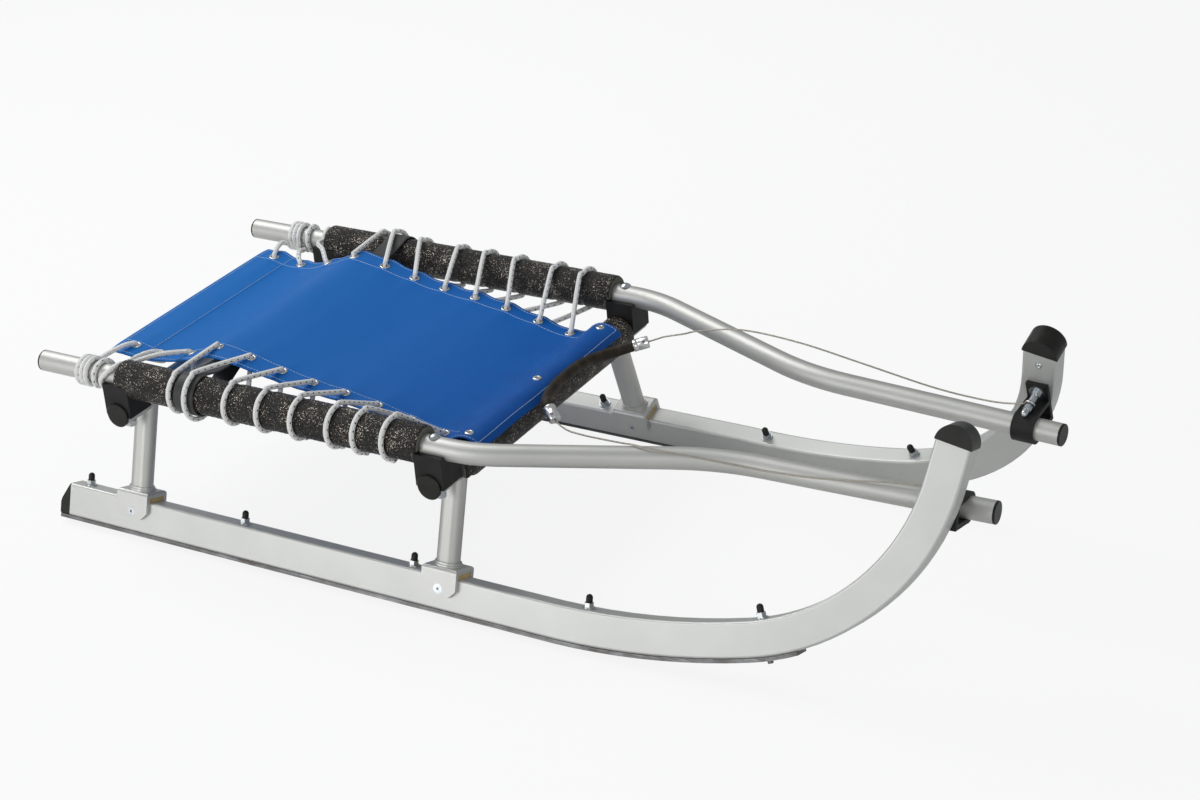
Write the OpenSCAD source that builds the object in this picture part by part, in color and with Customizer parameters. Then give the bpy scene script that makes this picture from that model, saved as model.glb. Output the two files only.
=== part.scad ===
// Single-seat sport luge sled: two canted runners that rise into horns, four legs on rubber-padded shoes,
// two cross tubes, two top rails, a laced fabric seat and a rein with a steel cable.
// X points forward to the horns, Y to the left, Z up. Left pieces are drawn and mirrored to the right.

/* [Top rails] */
// Length of a top rail from its rear end to its front end
rail_len = 1161; // [1130:1:1190]
// Outer diameter of a top rail
rail_d = 25; // [22:0.5:28]
// Wall of a top rail
rail_wall = 2; // [1.5:0.25:3]
// Distance between the rails' centre lines along the seat
seat_gauge = 420; // [400:2:440]
// Where each rail starts to bend inward, from the middle of its length
bend_in_x = -12.5; // [-20:0.5:-5]
// Centre-line radius of the inward bend
bend_in_r = 172; // [150:1:200]
// Angle of the inward bend
bend_in_a = 22.5; // [20:0.5:24]
// Straight stretch between the two bends
slant_len = 186.4; // [170:0.2:200]
// Centre-line radius of the bend that turns the rail forward again
bend_out_r = 290; // [250:1:320]
// Angle of the bend that turns the rail forward again
bend_out_a = 19.6; // [18:0.2:20]
// How much the front of each rail slopes down
rail_slope = 0.76; // [0:0.02:1.2]
// Thickness of the black cap on a rail's end
rail_cap_t = 2.5; // [2:0.5:4]

/* [Runners] */
// Distance between the runners' centre lines, on their top faces
runner_gauge = 428.8; // [420:0.4:440]
// Lean of the runners and legs, tops inward
cant = 18.3; // [15:0.1:20]
// Height of the runner's section
runner_h = 39.4; // [36:0.2:42]
// Width of the runner's section
runner_w = 25; // [23:0.5:27]
// Wall of the runner's section
runner_wall = 2.5; // [2:0.25:3.5]
// Radius of the section's corners
runner_corner = 3; // [1:0.5:4]
// Rear end of the runner, from the middle of the rails' length
runner_rear_x = -560; // [-565:1:-550]
// Start of the runner's upward bend
rise_x = 126.5; // [115:0.5:135]
// Inward turn of the runner's front
toe_in = 2.5; // [1.5:0.1:3]
// Inner radius of the first arc of the rise
rise_1_r = 865; // [800:1:950]
// Angle of the first arc of the rise
rise_1_a = 14.7; // [13:0.1:16]
// Inner radius of the second arc of the rise
rise_2_r = 249; // [230:1:270]
// Angle of the second arc of the rise
rise_2_a = 35.6; // [33:0.1:38]
// Inner radius of the third arc of the rise
rise_3_r = 228; // [210:1:245]
// Angle of the third arc of the rise
rise_3_a = 30.3; // [28:0.1:33]
// Straight top of the horn
horn_top = 41; // [35:1:50]
// Height of the wedge cap on the runner's rear end, seen from above
tail_cap_len = 14; // [10:1:18]
// How far the horn cap stands proud of the section
cap_proud = 0.8; // [0.5:0.1:1.5]

/* [Running strips] */
// Thickness of the steel strip
strip_t = 4.5; // [3:0.5:6]
// Width of the steel strip
strip_w = 23; // [18:0.5:24]
// How far the strip runs up the second arc of the rise
strip_end_a = 11; // [8:0.5:14]
// Diameter of a strip bolt
strip_bolt_d = 6; // [5:0.5:7]
// Straight-line places of the first three strip bolts
strip_bolt_x = [-539, -306, -68];
// Where the fourth bolt sits along the first arc
bolt_4_a = 2.2; // [1.5:0.1:4]
// Where the fifth bolt sits along the second arc
bolt_5_a = 3.8; // [3:0.1:6]

/* [Legs and cross tubes] */
// Place of the front cross tube
front_x = -23; // [-26:0.5:-20]
// Place of the rear cross tube
rear_x = -461; // [-470:1:-455]
// Drop from the rails' centre line to the cross tubes' centre line
tube_drop = 40; // [38:0.5:42]
// Rise of the rails' centre line over the runners' top face
rail_rise = 158.8; // [150:0.4:170]
// Outer diameter of a cross tube
tube_d = 30; // [28:0.5:32]
// Wall of a cross tube
tube_wall = 2; // [1.5:0.25:3]
// How far a cross tube reaches past the rail's centre line, without its cap
tube_out = 19; // [17:0.5:22]
// Thickness of the black cap on a cross tube's end
tube_cap_t = 3; // [2:0.5:4]
// Length of a leg's oval section, along X
leg_l = 28; // [26:0.5:29]
// Width of a leg's oval section
leg_w = 21; // [19:0.5:23]
// Wall of a leg
leg_wall = 2; // [1.5:0.25:3]

/* [Shoes] */
// Length of a shoe along the runner
shoe_l = 46; // [42:1:50]
// Thickness of a shoe's ears
ear_t = 5.5; // [4:0.5:7]
// Drop of the ears below the runner's top face
ear_drop = 22; // [20:1:25]
// Chamfer of the ears' lower corners
ear_chamfer = 9; // [6:1:11]
// Thickness of the rubber pad under the shoe
shoe_pad_t = 5; // [4:0.5:7]
// Thickness of the shoe's bridge
bridge_t = 6; // [5:0.5:8]
// Drop of the shoe screw below the runner's top face
screw_drop = 13.5; // [12:0.5:15]
// Diameter of the shoe screw
screw_d = 6; // [5:0.5:8]
// Diameter of the shoe screw's countersunk head
screw_head_d = 11.5; // [10:0.5:13]

/* [Saddles] */
// Length of a rubber saddle along the rail
saddle_l = 36; // [30:1:40]
// Width of a rubber saddle across the rail
saddle_w = 38; // [34:1:40]
// Diameter of a saddle bolt
saddle_bolt_d = 8; // [6:0.5:9]

/* [Seat] */
// Outer diameter of the foam on rails and cross tube
foam_d = 45; // [40:0.5:46]
// Rear end of the foam on a rail
foam_rear_x = -460; // [-464:1:-456]
// Front end of the foam on a rail
foam_front_x = -36; // [-40:1:-34]
// Thickness of the seat fabric
fabric_t = 1.5; // [1:0.1:2]
// Distance of the eyelets from the sled's middle
eyelet_y = 138; // [134:0.5:142]
// Outer radius of an eyelet
eyelet_r = 6; // [5:0.25:7]
// Bore radius of an eyelet
eyelet_bore_r = 3.8; // [3.5:0.1:4.2]
// Diameter of the lacing rope
rope_d = 6; // [5:0.25:6.5]
// How deep a rope loop presses into the foam
rope_bite = 1.2; // [0:0.1:1.5]
// Width of the support strap under the seat
strap_w = 28; // [24:1:30]
// Thickness of the support strap
strap_t = 2; // [1.5:0.1:2.5]
// Place of the support strap
strap_x = -354; // [-355:0.5:-352]
// Radius of a rivet head on the front flap
rivet_r = 5.5; // [4:0.5:6]
// Radius of a rivet's shank
rivet_shank_r = 2; // [1.5:0.1:2.5]

/* [Rein] */
// Diameter of the hose that is the rein's handle
hose_d = 13; // [12:0.5:14]
// Diameter of the steel cable
cable_d = 2; // [1.5:0.1:2.5]
// Diameter of a ferrule
ferrule_d = 14.5; // [14:0.5:16]
// Length of a ferrule
ferrule_l = 19; // [16:1:22]
// Diameter of a horn bolt
horn_bolt_d = 6; // [5:0.5:7]
// Depth of a horn bolt in the horn, from the horn's inner edge
horn_bolt_in = 21.2; // [18:0.1:23]
// Height of a horn bolt over the rail it clamps
horn_bolt_rise = 8.5; // [8:0.25:10]
// Width of a horn clamp along the rail
clamp_w = 25; // [22:0.5:28]
// Thickness of a horn clamp's band
clamp_t = 4.5; // [4:0.25:5.5]

/* [Hidden] */
$fn = 48;

// Fit gaps: a hole round its bolt, a fork round the runner, a soft piece beside its neighbour
bolt_gap = 0.2;
fork_gap = 0.2;
soft_gap = 0.4;
clip_gap = 0.25;

// A bent stretch of a bar is this much fuller all round than its straights, which reach this far into it
join_step = 0.05;
join_len = 1;

// Heights: the runners' strips touch the ground with their inner edges
runner_top_z = strip_w / 2 * sin(cant) + (runner_h + strip_t) * cos(cant);
rail_z = runner_top_z + rail_rise;
tube_z = rail_z - tube_drop;
rail_y = seat_gauge / 2;
runner_y = runner_gauge / 2;
foam_r = foam_d / 2;
tube_len = seat_gauge + 2 * tube_out;

// Straight height from the runner's top face to the cross tube's centre, along the leaning leg
leg_reach = (rail_rise - tube_drop) / cos(cant);
bridge_top = shoe_pad_t + bridge_t;
shoe_w = runner_w + 2 * (fork_gap + ear_t);

// Front part of a rail: the end of its second bend and its last straight stretch
tip_toe = bend_in_a - bend_out_a;
slant_x = bend_in_x + bend_in_r * sin(bend_in_a) + slant_len * cos(bend_in_a);
slant_y = rail_y - bend_in_r * (1 - cos(bend_in_a)) - slant_len * sin(bend_in_a);
tip_x = slant_x + bend_out_r * (sin(bend_in_a) - sin(tip_toe));
tip_y = slant_y - bend_out_r * (cos(tip_toe) - cos(bend_in_a));
tip_len = (rail_len / 2 - tip_x) / cos(tip_toe);

// Centre of the horn's third arc in its leaning frame, and the rail's rough height there
function arc_end(p, a, r, turn) = p + r * [sin(a + turn) - sin(a), cos(a) - cos(a + turn)];
rise_a = rise_1_a + rise_2_a;
rise_end = arc_end(arc_end([0, 0], 0, rise_1_r, rise_1_a), rise_1_a, rise_2_r, rise_2_a);
horn_centre = rise_end + rise_3_r * [-sin(rise_a), cos(rise_a)];
tip_up = cos(cant) * (rail_rise - (tip_x - bend_in_x) * tan(rail_slope)) - sin(cant) * (tip_y - runner_y);
horn_drop = horn_centre[1] - tip_up - rail_d / 2 - horn_bolt_rise;
horn_bolt_r = rise_3_r + horn_bolt_in;

// Place of a horn clamp on the rail, and of the rail in the horn's own leaning frame
clamp_x = rise_x + horn_centre[0] + sqrt(horn_bolt_r * horn_bolt_r - horn_drop * horn_drop) - 2;
clamp_rail_y = tip_y - (clamp_x - tip_x) * tan(tip_toe);
clamp_rail_z = rail_z - (clamp_x - bend_in_x) * tan(rail_slope);
clamp_dy = clamp_rail_y - runner_y;
clamp_dz = clamp_rail_z - runner_top_z;
clamp_side = cos(cant) * clamp_dy + sin(cant) * clamp_dz;
clamp_up = cos(cant) * clamp_dz - sin(cant) * clamp_dy;
rail_in_horn_x = (clamp_x - rise_x) * cos(toe_in) - clamp_side * sin(toe_in);
rail_in_horn_y = (clamp_x - rise_x) * sin(toe_in) + clamp_side * cos(toe_in);
horn_face_y = -runner_w / 2 - join_step;
horn_bolt_up = clamp_up + rail_d / 2 + horn_bolt_rise;

// Eyelets of one side, rear to front: place along X, height over the rails' centre lines, and the places of their
// rope loops on the left and the right foam
eyelets = [
    [-500.5, 0.5, 0, 0], [-458.5, -4.1, 0, 0], [-415.5, 5.5, 0, 0], [-372.5, 21.9, -381, -375],
    [-326.5, 16.4, -360, -349], [-283, 7.4, -318, -296], [-239.5, 0.4, -261, -250], [-195.5, -4.1, -220, -203],
    [-151, -10.6, -175, -153], [-106, -20.1, -119, -118], [-62, -28.6, -78, -79]
];
last = len(eyelets) - 1;
front_loop = 3;

// Half width of the fabric along X
fabric_edge = [
    [-524, 158], [-500, 161], [-478, 158], [-450, 153], [-420, 155], [-372, 162], [-326, 160],
    [-240, 157], [-150, 155], [-62, 153], [-6, 152]
];
flap_half = 158;
rivets_y = [-145, 0, 145];

// Slope of the panel at an eyelet, and its points: flat round each eyelet, then round over the front foam
function over_foam(r, a) = [front_x + r * sin(a), tube_z + r * cos(a)];
function slope_at(i) =
    let (a = eyelets[max(i - 1, 0)], b = i < last ? eyelets[i + 1] : [-48, -27.5])
    (b[1] - a[1]) / (b[0] - a[0]);
panel_r = foam_r + soft_gap + fabric_t / 2;
flap_t = fabric_t + 0.6;
flap_r = panel_r + fabric_t / 2 + flap_t / 2 - 0.3;
flat = 7;
panel = concat(
    [[-524, rail_z + 1.7]],
    [for (i = [0 : last]) for (d = [-flat, 0, flat])
        [eyelets[i][0] + d, rail_z + eyelets[i][1] + d * slope_at(i)]],
    [for (a = [-46, -34, -23, -11, 0, 11, 23, 33, 42]) over_foam(panel_r, a)]
);
flap = [for (a = [-56, -38, -19, 0, 19, 38, 57]) over_foam(flap_r, a)];

// Point lists
function ribbon(line, t) = concat(
    [for (p = line) [p[0], p[1] - t / 2]],
    [for (i = [len(line) - 1 : -1 : 0]) [line[i][0], line[i][1] + t / 2]]
);
function outline(edge) = concat(
    [for (p = edge) p],
    [for (i = [len(edge) - 1 : -1 : 0]) [edge[i][0], -edge[i][1]]]
);

// Tube of diameter d with n sides, swept along a list of points
function unit(v) = v / norm(v);
function heading(p, i) = unit(p[min(i + 1, len(p) - 1)] - p[max(i - 1, 0)]);
function carried(n, t) = unit(n - (n * t) * t);
function frames(p, i, n) = i >= len(p) ? [] :
    let (t = heading(p, i), m = carried(n, t)) concat([[t, m]], frames(p, i + 1, m));
module swept(p, d, n) {
    f = frames(p, 0, [0.13, 0.31, 0.94]);
    rings = [for (i = [0 : len(p) - 1]) for (k = [0 : n - 1])
        p[i] + d / 2 * (cos(360 * k / n) * f[i][1] + sin(360 * k / n) * cross(f[i][0], f[i][1]))];
    end = (len(p) - 1) * n;
    sides = [for (i = [0 : len(p) - 2]) for (k = [0 : n - 1])
        [i * n + k, (i + 1) * n + k, (i + 1) * n + (k + 1) % n, i * n + (k + 1) % n]];
    polyhedron(points = rings, faces = concat(
        [[for (k = [0 : n - 1]) k]], sides, [[for (k = [n - 1 : -1 : 0]) end + k]]), convexity = 10);
}

// A left-hand piece as it is, or mirrored to the right
module side(s) {
    if (s > 0) children();
    else mirror([0, 1, 0]) children();
}

// The leaning frame of a runner: X forward, Y outboard, Z up the lean, zero on the top face
module on_runner(x = 0) {
    translate([0, runner_y, runner_top_z]) rotate([cant, 0, 0]) translate([x, 0, 0]) children();
}

// The frame at the start of the rise, turned inward
module on_rise() {
    on_runner(rise_x) rotate([0, 0, -toe_in]) children();
}

// Moves on to the end of an arc of the rise
module after(r, a) {
    translate([r * sin(a), 0, r * (1 - cos(a))]) rotate([0, -a, 0]) children();
}

// Sweeps a section, whose X runs outward from the arc's inner edge, along an arc of the rise
module rise_arc(r, a, lap = 0) {
    over = lap / r * 180 / PI;
    translate([0, 0, r]) rotate([90, 0, 0]) rotate([0, 0, -90 - over])
        rotate_extrude(angle = a + 2 * over, $fn = 180) translate([r, 0]) children();
}

// Section of a runner: first coordinate down from the top face, second across
module rounded(x0, x1, w, r) {
    translate([x0 + r, -w / 2]) square([x1 - x0 - 2 * r, w]);
    translate([x0, r - w / 2]) square([x1 - x0, w - 2 * r]);
    for (x = [x0 + r, x1 - r]) for (y = [-w / 2 + r, w / 2 - r]) translate([x, y]) circle(r, $fn = 24);
}
module bar_section(t, g) {
    rounded(t - g, runner_h - t + g, runner_w - 2 * t + 2 * g, max(runner_corner - t, 0.5));
}

// Lays a section along +X over a length, with its first coordinate pointing down
module laid(l) {
    rotate([0, 90, 0]) linear_extrude(l) children();
}

// The bar of a runner, set in by t all round; extra lengthens both ends
module runner_form(t, extra = 0) {
    on_runner(runner_rear_x - extra) laid(rise_x - runner_rear_x + extra + join_len) bar_section(t, 0);
    on_rise() {
        rise_arc(rise_1_r, rise_1_a) bar_section(t, join_step);
        after(rise_1_r, rise_1_a) {
            rise_arc(rise_2_r, rise_2_a, join_len) bar_section(t, 0);
            after(rise_2_r, rise_2_a) {
                rise_arc(rise_3_r, rise_3_a) bar_section(t, join_step);
                after(rise_3_r, rise_3_a) translate([-join_len, 0, 0])
                    laid(horn_top + extra + join_len) bar_section(t, 0);
            }
        }
    }
}
module on_horn_end() {
    on_rise() after(rise_1_r, rise_1_a) after(rise_2_r, rise_2_a) after(rise_3_r, rise_3_a)
        translate([horn_top, 0, 0]) children();
}

// Places of the five strip bolts
module at_strip_bolts(lift = 0) {
    for (x = strip_bolt_x) on_runner(x) children();
    on_rise() translate([0, 0, lift]) {
        after(rise_1_r, bolt_4_a) children();
        after(rise_1_r, rise_1_a) after(rise_2_r, bolt_5_a) children();
    }
}

// Places of the two shoe screws of one side
module at_shoe_screws() {
    for (x = [front_x, rear_x]) on_runner(x) translate([0, 0, -screw_drop]) rotate([-90, 0, 0]) children();
}

module runner() {
    difference() {
        runner_form(0);
        runner_form(runner_wall, 1);
        at_strip_bolts() translate([0, 0, -runner_h - 5]) cylinder(d = strip_bolt_d + bolt_gap, h = runner_h + 10);
        at_shoe_screws() translate([0, 0, -runner_w]) cylinder(d = screw_d + bolt_gap, h = 2 * runner_w);
        on_horn() translate([0, -runner_w, 0]) rotate([-90, 0, 0])
            cylinder(d = horn_bolt_d + bolt_gap, h = runner_w);
    }
}
module runner_left() { color("lightgray") runner(); }
module runner_right() { color("lightgray") side(-1) runner(); }

// Where the horn bolt stands, in the horn's leaning frame
module on_horn() {
    on_rise() translate([rail_in_horn_x, 0, horn_bolt_up]) children();
}

// Steel strip under the runner, with countersunk holes
module strip_section(g) { translate([runner_h + g, -strip_w / 2 - g]) square([strip_t, strip_w + 2 * g]); }
module running_strip() {
    difference() {
        union() {
            on_runner(runner_rear_x - tail_cap_len) laid(rise_x - runner_rear_x + tail_cap_len + join_len)
                strip_section(0);
            on_rise() {
                rise_arc(rise_1_r, rise_1_a) strip_section(join_step);
                after(rise_1_r, rise_1_a) rise_arc(rise_2_r, strip_end_a, join_len) strip_section(0);
            }
        }
        at_strip_bolts(curve_lift) {
            translate([0, 0, -runner_h - 2 * strip_t]) cylinder(d = strip_bolt_d + bolt_gap, h = 3 * strip_t);
            translate([0, 0, -runner_h - strip_t - 0.5])
                cylinder(d1 = strip_bolt_d + 7.2, d2 = strip_bolt_d + bolt_gap, h = 3.6);
        }
    }
}
module running_strip_left() { color("dimgray") running_strip(); }
module running_strip_right() { color("dimgray") side(-1) running_strip(); }

// Strip bolt with its flat head, washer and nut
nut_h = 5;
washer_t = 1.5;
washer_d = 14;
bolt_stand = 11.5;
curve_lift = join_step + washer_d * washer_d / 8 / rise_2_r + 0.02;
module strip_bolt() {
    foot = -runner_h - strip_t + 0.3;
    translate([0, 0, foot]) {
        cylinder(d1 = strip_bolt_d + 5.6, d2 = strip_bolt_d, h = 2.8);
        cylinder(d = strip_bolt_d, h = bolt_stand - foot);
    }
    cylinder(d = washer_d, h = washer_t);
    translate([0, 0, washer_t]) cylinder(d = 11, h = nut_h, $fn = 6);
}
module strip_bolts_left() { color("silver") at_strip_bolts(curve_lift) strip_bolt(); }
module strip_bolts_right() { color("silver") side(-1) at_strip_bolts(curve_lift) strip_bolt(); }

// Domed plastic cap over each bolt's thread
module bolt_cap() {
    start = washer_t + nut_h;
    difference() {
        union() {
            translate([0, 0, start]) cylinder(d = strip_bolt_d + 1.6, h = 5.5);
            translate([0, 0, start + 5.5]) sphere(d = strip_bolt_d + 1.6, $fn = 32);
        }
        cylinder(d = strip_bolt_d, h = bolt_stand);
    }
}
module strip_bolt_caps() {
    color("black") for (s = [1, -1]) side(s) at_strip_bolts(curve_lift) bolt_cap();
}

// Half-round cap on top of a horn, with a plug inside it
module horn_cap() {
    r = runner_h / 2 + cap_proud;
    on_horn_end() translate([0, 0, -runner_h / 2]) {
        difference() {
            rotate([90, 0, 0]) cylinder(r = r, h = runner_w + 2 * cap_proud, center = true, $fn = 96);
            translate([-2 * r, -runner_w, -2 * r]) cube([2 * r, 2 * runner_w, 4 * r]);
        }
        plug = [14, runner_w - 2 * runner_wall - 0.4, runner_h - 2 * runner_wall - 0.4];
        translate([-plug[0], -plug[1] / 2, -plug[2] / 2]) cube([plug[0] + 1, plug[1], plug[2]]);
    }
}
module horn_cap_left() { color("black") horn_cap(); }
module horn_cap_right() { color("black") side(-1) horn_cap(); }

// Wedge cap on the runner's rear end, with a plug inside it
module tail_cap() {
    on_runner(runner_rear_x) {
        intersection() {
            translate([-tail_cap_len, 0, 0]) laid(tail_cap_len) bar_section(0, 0);
            rotate([90, 0, 0]) linear_extrude(2 * runner_w, center = true) polygon([
                [0, 0], [-1, 0], [-tail_cap_len + 1.5, -runner_h / 2], [-tail_cap_len, -runner_h / 2 - 5],
                [-tail_cap_len, -runner_h], [0, -runner_h]
            ]);
        }
        plug = [14, runner_w - 2 * runner_wall - 0.4, runner_h - 2 * runner_wall - 0.4];
        translate([-1, -plug[1] / 2, -runner_h / 2 - plug[2] / 2]) cube([plug[0] + 1, plug[1], plug[2]]);
    }
}
module tail_cap_left() { color("black") tail_cap(); }
module tail_cap_right() { color("black") side(-1) tail_cap(); }

// Cross tubes, bored for the saddle bolts
module at_saddles(x) {
    for (s = [1, -1]) translate([x, s * rail_y, 0]) children();
}
module at_rivets() {
    for (y = rivets_y) translate([front_x, y, tube_z]) cylinder(r = rivet_shank_r + bolt_gap / 2, h = foam_d);
}
module crossbar(x) {
    difference() {
        translate([x, 0, tube_z]) rotate([90, 0, 0]) cylinder(d = tube_d, h = tube_len, center = true, $fn = 96);
        translate([x, 0, tube_z]) rotate([90, 0, 0])
            cylinder(d = tube_d - 2 * tube_wall, h = tube_len + 2, center = true, $fn = 96);
        at_saddles(x) translate([0, 0, tube_z - tube_d])
            cylinder(d = saddle_bolt_d + bolt_gap, h = 2 * tube_d);
        if (x == front_x) at_rivets();
    }
}
module crossbar_front() { color("silver") crossbar(front_x); }
module crossbar_rear() { color("silver") crossbar(rear_x); }

// Black caps in the cross tubes' ends
module crossbar_caps() {
    color("black") for (x = [front_x, rear_x]) for (s = [1, -1]) side(s)
        translate([x, tube_len / 2, tube_z]) rotate([-90, 0, 0]) {
            cylinder(d = tube_d, h = tube_cap_t - 0.8, $fn = 96);
            translate([0, 0, tube_cap_t - 0.8]) cylinder(d1 = tube_d, d2 = tube_d - 1.6, h = 0.8, $fn = 96);
            translate([0, 0, -8]) cylinder(d = tube_d - 2 * tube_wall - 0.3, h = 8.1, $fn = 96);
        }
}

// Oval outline of a leg, grown by g
module oval(g = 0) {
    r = leg_w / 2 + g;
    reach = (leg_l - leg_w) / 2;
    square([2 * reach, 2 * r], center = true);
    for (x = [-reach, reach]) translate([x, 0]) circle(r, $fn = 64);
}

// Leg from its shoe up to the cross tube, coped round the tube
module leg(x) {
    difference() {
        on_runner(x) translate([0, 0, bridge_top]) difference() {
            linear_extrude(leg_reach - bridge_top) oval();
            translate([0, 0, -1]) linear_extrude(leg_reach) oval(-leg_wall);
        }
        translate([x, 0, tube_z]) rotate([90, 0, 0]) cylinder(d = tube_d, h = tube_len, center = true, $fn = 96);
    }
}
module leg_front_left() { color("silver") leg(front_x); }
module leg_front_right() { color("silver") side(-1) leg(front_x); }
module leg_rear_left() { color("silver") leg(rear_x); }
module leg_rear_right() { color("silver") side(-1) leg(rear_x); }

// Fork shoe: a bridge over the rubber pad, two chamfered ears and a collar round the leg
module shoe(x) {
    half = shoe_w / 2;
    round_r = 4.5;
    difference() {
        on_runner(x) {
            intersection() {
                translate([-shoe_l / 2, 0, 0]) rotate([90, 0, 90]) linear_extrude(shoe_l) difference() {
                    union() {
                        translate([-half, -ear_drop]) square([shoe_w, ear_drop + bridge_top - round_r]);
                        translate([round_r - half, 0]) square([shoe_w - 2 * round_r, bridge_top]);
                        for (y = [round_r - half, half - round_r])
                            translate([y, bridge_top - round_r]) circle(round_r, $fn = 40);
                    }
                    translate([-runner_w / 2 - fork_gap, -ear_drop - 1])
                        square([runner_w + 2 * fork_gap, ear_drop + 1 + shoe_pad_t]);
                }
                rotate([90, 0, 0]) linear_extrude(2 * shoe_w, center = true) polygon([
                    [-shoe_l / 2, bridge_top - 2], [2 - shoe_l / 2, bridge_top], [shoe_l / 2 - 2, bridge_top],
                    [shoe_l / 2, bridge_top - 2], [shoe_l / 2, ear_chamfer - ear_drop],
                    [shoe_l / 2 - ear_chamfer, -ear_drop], [ear_chamfer - shoe_l / 2, -ear_drop],
                    [-shoe_l / 2, ear_chamfer - ear_drop]
                ]);
            }
            translate([0, 0, bridge_top]) difference() {
                union() {
                    linear_extrude(2) oval(3.2);
                    translate([0, 0, 2]) linear_extrude(2.5) oval(1.8);
                }
                translate([0, 0, -1]) linear_extrude(8) oval();
            }
        }
        on_runner(x) translate([0, 0, -screw_drop]) rotate([-90, 0, 0]) {
            translate([0, 0, -shoe_w]) cylinder(d = screw_d + bolt_gap, h = 2 * shoe_w);
            for (m = [0, 1]) mirror([0, 0, m]) translate([0, 0, half - 3])
                cylinder(d1 = screw_d + bolt_gap, d2 = screw_head_d + bolt_gap, h = 3.01);
        }
    }
}
module shoe_front_left() { color("silver") shoe(front_x); }
module shoe_front_right() { color("silver") side(-1) shoe(front_x); }
module shoe_rear_left() { color("silver") shoe(rear_x); }
module shoe_rear_right() { color("silver") side(-1) shoe(rear_x); }

// Rubber pads between the shoes and the runners
module shoe_pads() {
    color("darkgoldenrod") for (s = [1, -1]) side(s) for (x = [front_x, rear_x]) on_runner(x)
        translate([-shoe_l / 2 + 0.5, -runner_w / 2, 0]) cube([shoe_l - 1, runner_w, shoe_pad_t]);
}

// Countersunk screws through shoes and runners
module shoe_screws() {
    half = shoe_w / 2;
    color("gray") for (s = [1, -1]) side(s) at_shoe_screws() difference() {
        union() {
            translate([0, 0, -half]) cylinder(d = screw_d, h = shoe_w);
            for (m = [0, 1]) mirror([0, 0, m]) translate([0, 0, half - 3])
                cylinder(d1 = screw_d, d2 = screw_head_d, h = 3);
        }
        for (m = [0, 1]) mirror([0, 0, m]) translate([0, 0, half - 2.5]) cylinder(d = 3.6, h = 3, $fn = 6);
    }
}

// Rubber saddle between a cross tube and a rail
module saddle(x) {
    low = tube_z - 2;
    difference() {
        translate([x - saddle_l / 2, rail_y - saddle_w / 2, low]) cube([saddle_l, saddle_w, rail_z - 3 - low]);
        translate([x, rail_y, tube_z]) rotate([90, 0, 0])
            cylinder(d = tube_d, h = 2 * saddle_w, center = true, $fn = 96);
        rail_form(rail_d);
        translate([x, rail_y, tube_z]) cylinder(d = saddle_bolt_d + bolt_gap, h = 2 * tube_drop);
    }
}
module saddle_front_left() { color("black") saddle(front_x); }
module saddle_front_right() { color("black") side(-1) saddle(front_x); }
module saddle_rear_left() { color("black") saddle(rear_x); }
module saddle_rear_right() { color("black") side(-1) saddle(rear_x); }

// Saddle bolts: nut under the cross tube; the front ones have a domed head on the rail
module saddle_bolts() {
    foot = tube_z - tube_d / 2;
    color("silver") for (s = [1, -1]) side(s) for (x = [front_x, rear_x]) translate([x, rail_y, 0]) {
        head_z = x == front_x ? rail_z + rail_d / 2 : rail_z + rail_d / 2 - 3;
        translate([0, 0, foot - 8]) cylinder(d = saddle_bolt_d, h = head_z - foot + 8);
        translate([0, 0, foot - 6.5]) cylinder(d = 14, h = 6.5, $fn = 6);
        if (x == front_x) translate([0, 0, head_z]) intersection() {
            translate([0, 0, -4.6]) sphere(r = 8.2, $fn = 64);
            cylinder(r = 8, h = 8);
        }
    }
}

// The line of a rail as a solid of diameter d, with both ends lengthened by extra
module rail_form(d, extra = 0) {
    translate([-rail_len / 2 - extra, rail_y, rail_z]) rotate([0, 90, 0])
        cylinder(d = d, h = rail_len / 2 + bend_in_x + extra + join_len, $fn = 96);
    translate([bend_in_x, rail_y, rail_z]) rotate([0, rail_slope, 0]) {
        translate([0, -bend_in_r, 0]) rotate([0, 0, 90 - bend_in_a]) rail_arc(d, bend_in_r, bend_in_a);
        translate([bend_in_r * sin(bend_in_a), -bend_in_r * (1 - cos(bend_in_a)), 0]) rotate([0, 0, -bend_in_a]) {
            translate([-join_len, 0, 0]) rotate([0, 90, 0])
                cylinder(d = d, h = slant_len + 2 * join_len, $fn = 96);
            translate([slant_len, bend_out_r, 0]) rotate([0, 0, -90]) rail_arc(d, bend_out_r, bend_out_a);
        }
    }
    on_rail_tip() translate([-join_len, 0, 0]) rotate([0, 90, 0])
        cylinder(d = d, h = tip_len + extra + join_len, $fn = 96);
}
module rail_arc(d, r, a) {
    rotate_extrude(angle = a, $fn = 180) translate([r, 0]) circle(d = d + 2 * join_step, $fn = 96);
}
module on_rail_tip() {
    translate([bend_in_x, rail_y, rail_z]) rotate([0, rail_slope, 0])
        translate([tip_x - bend_in_x, tip_y - rail_y, 0]) rotate([0, 0, -tip_toe]) children();
}
module rail() {
    difference() {
        rail_form(rail_d);
        rail_form(rail_d - 2 * rail_wall, 1);
        translate([front_x, rail_y, rail_z - rail_d]) cylinder(d = saddle_bolt_d + bolt_gap, h = 2 * rail_d);
        translate([rear_x, rail_y, rail_z - rail_d]) cylinder(d = saddle_bolt_d + bolt_gap, h = rail_d);
    }
}
module rail_left() { color("lightgray") rail(); }
module rail_right() { color("lightgray") side(-1) rail(); }

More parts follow.
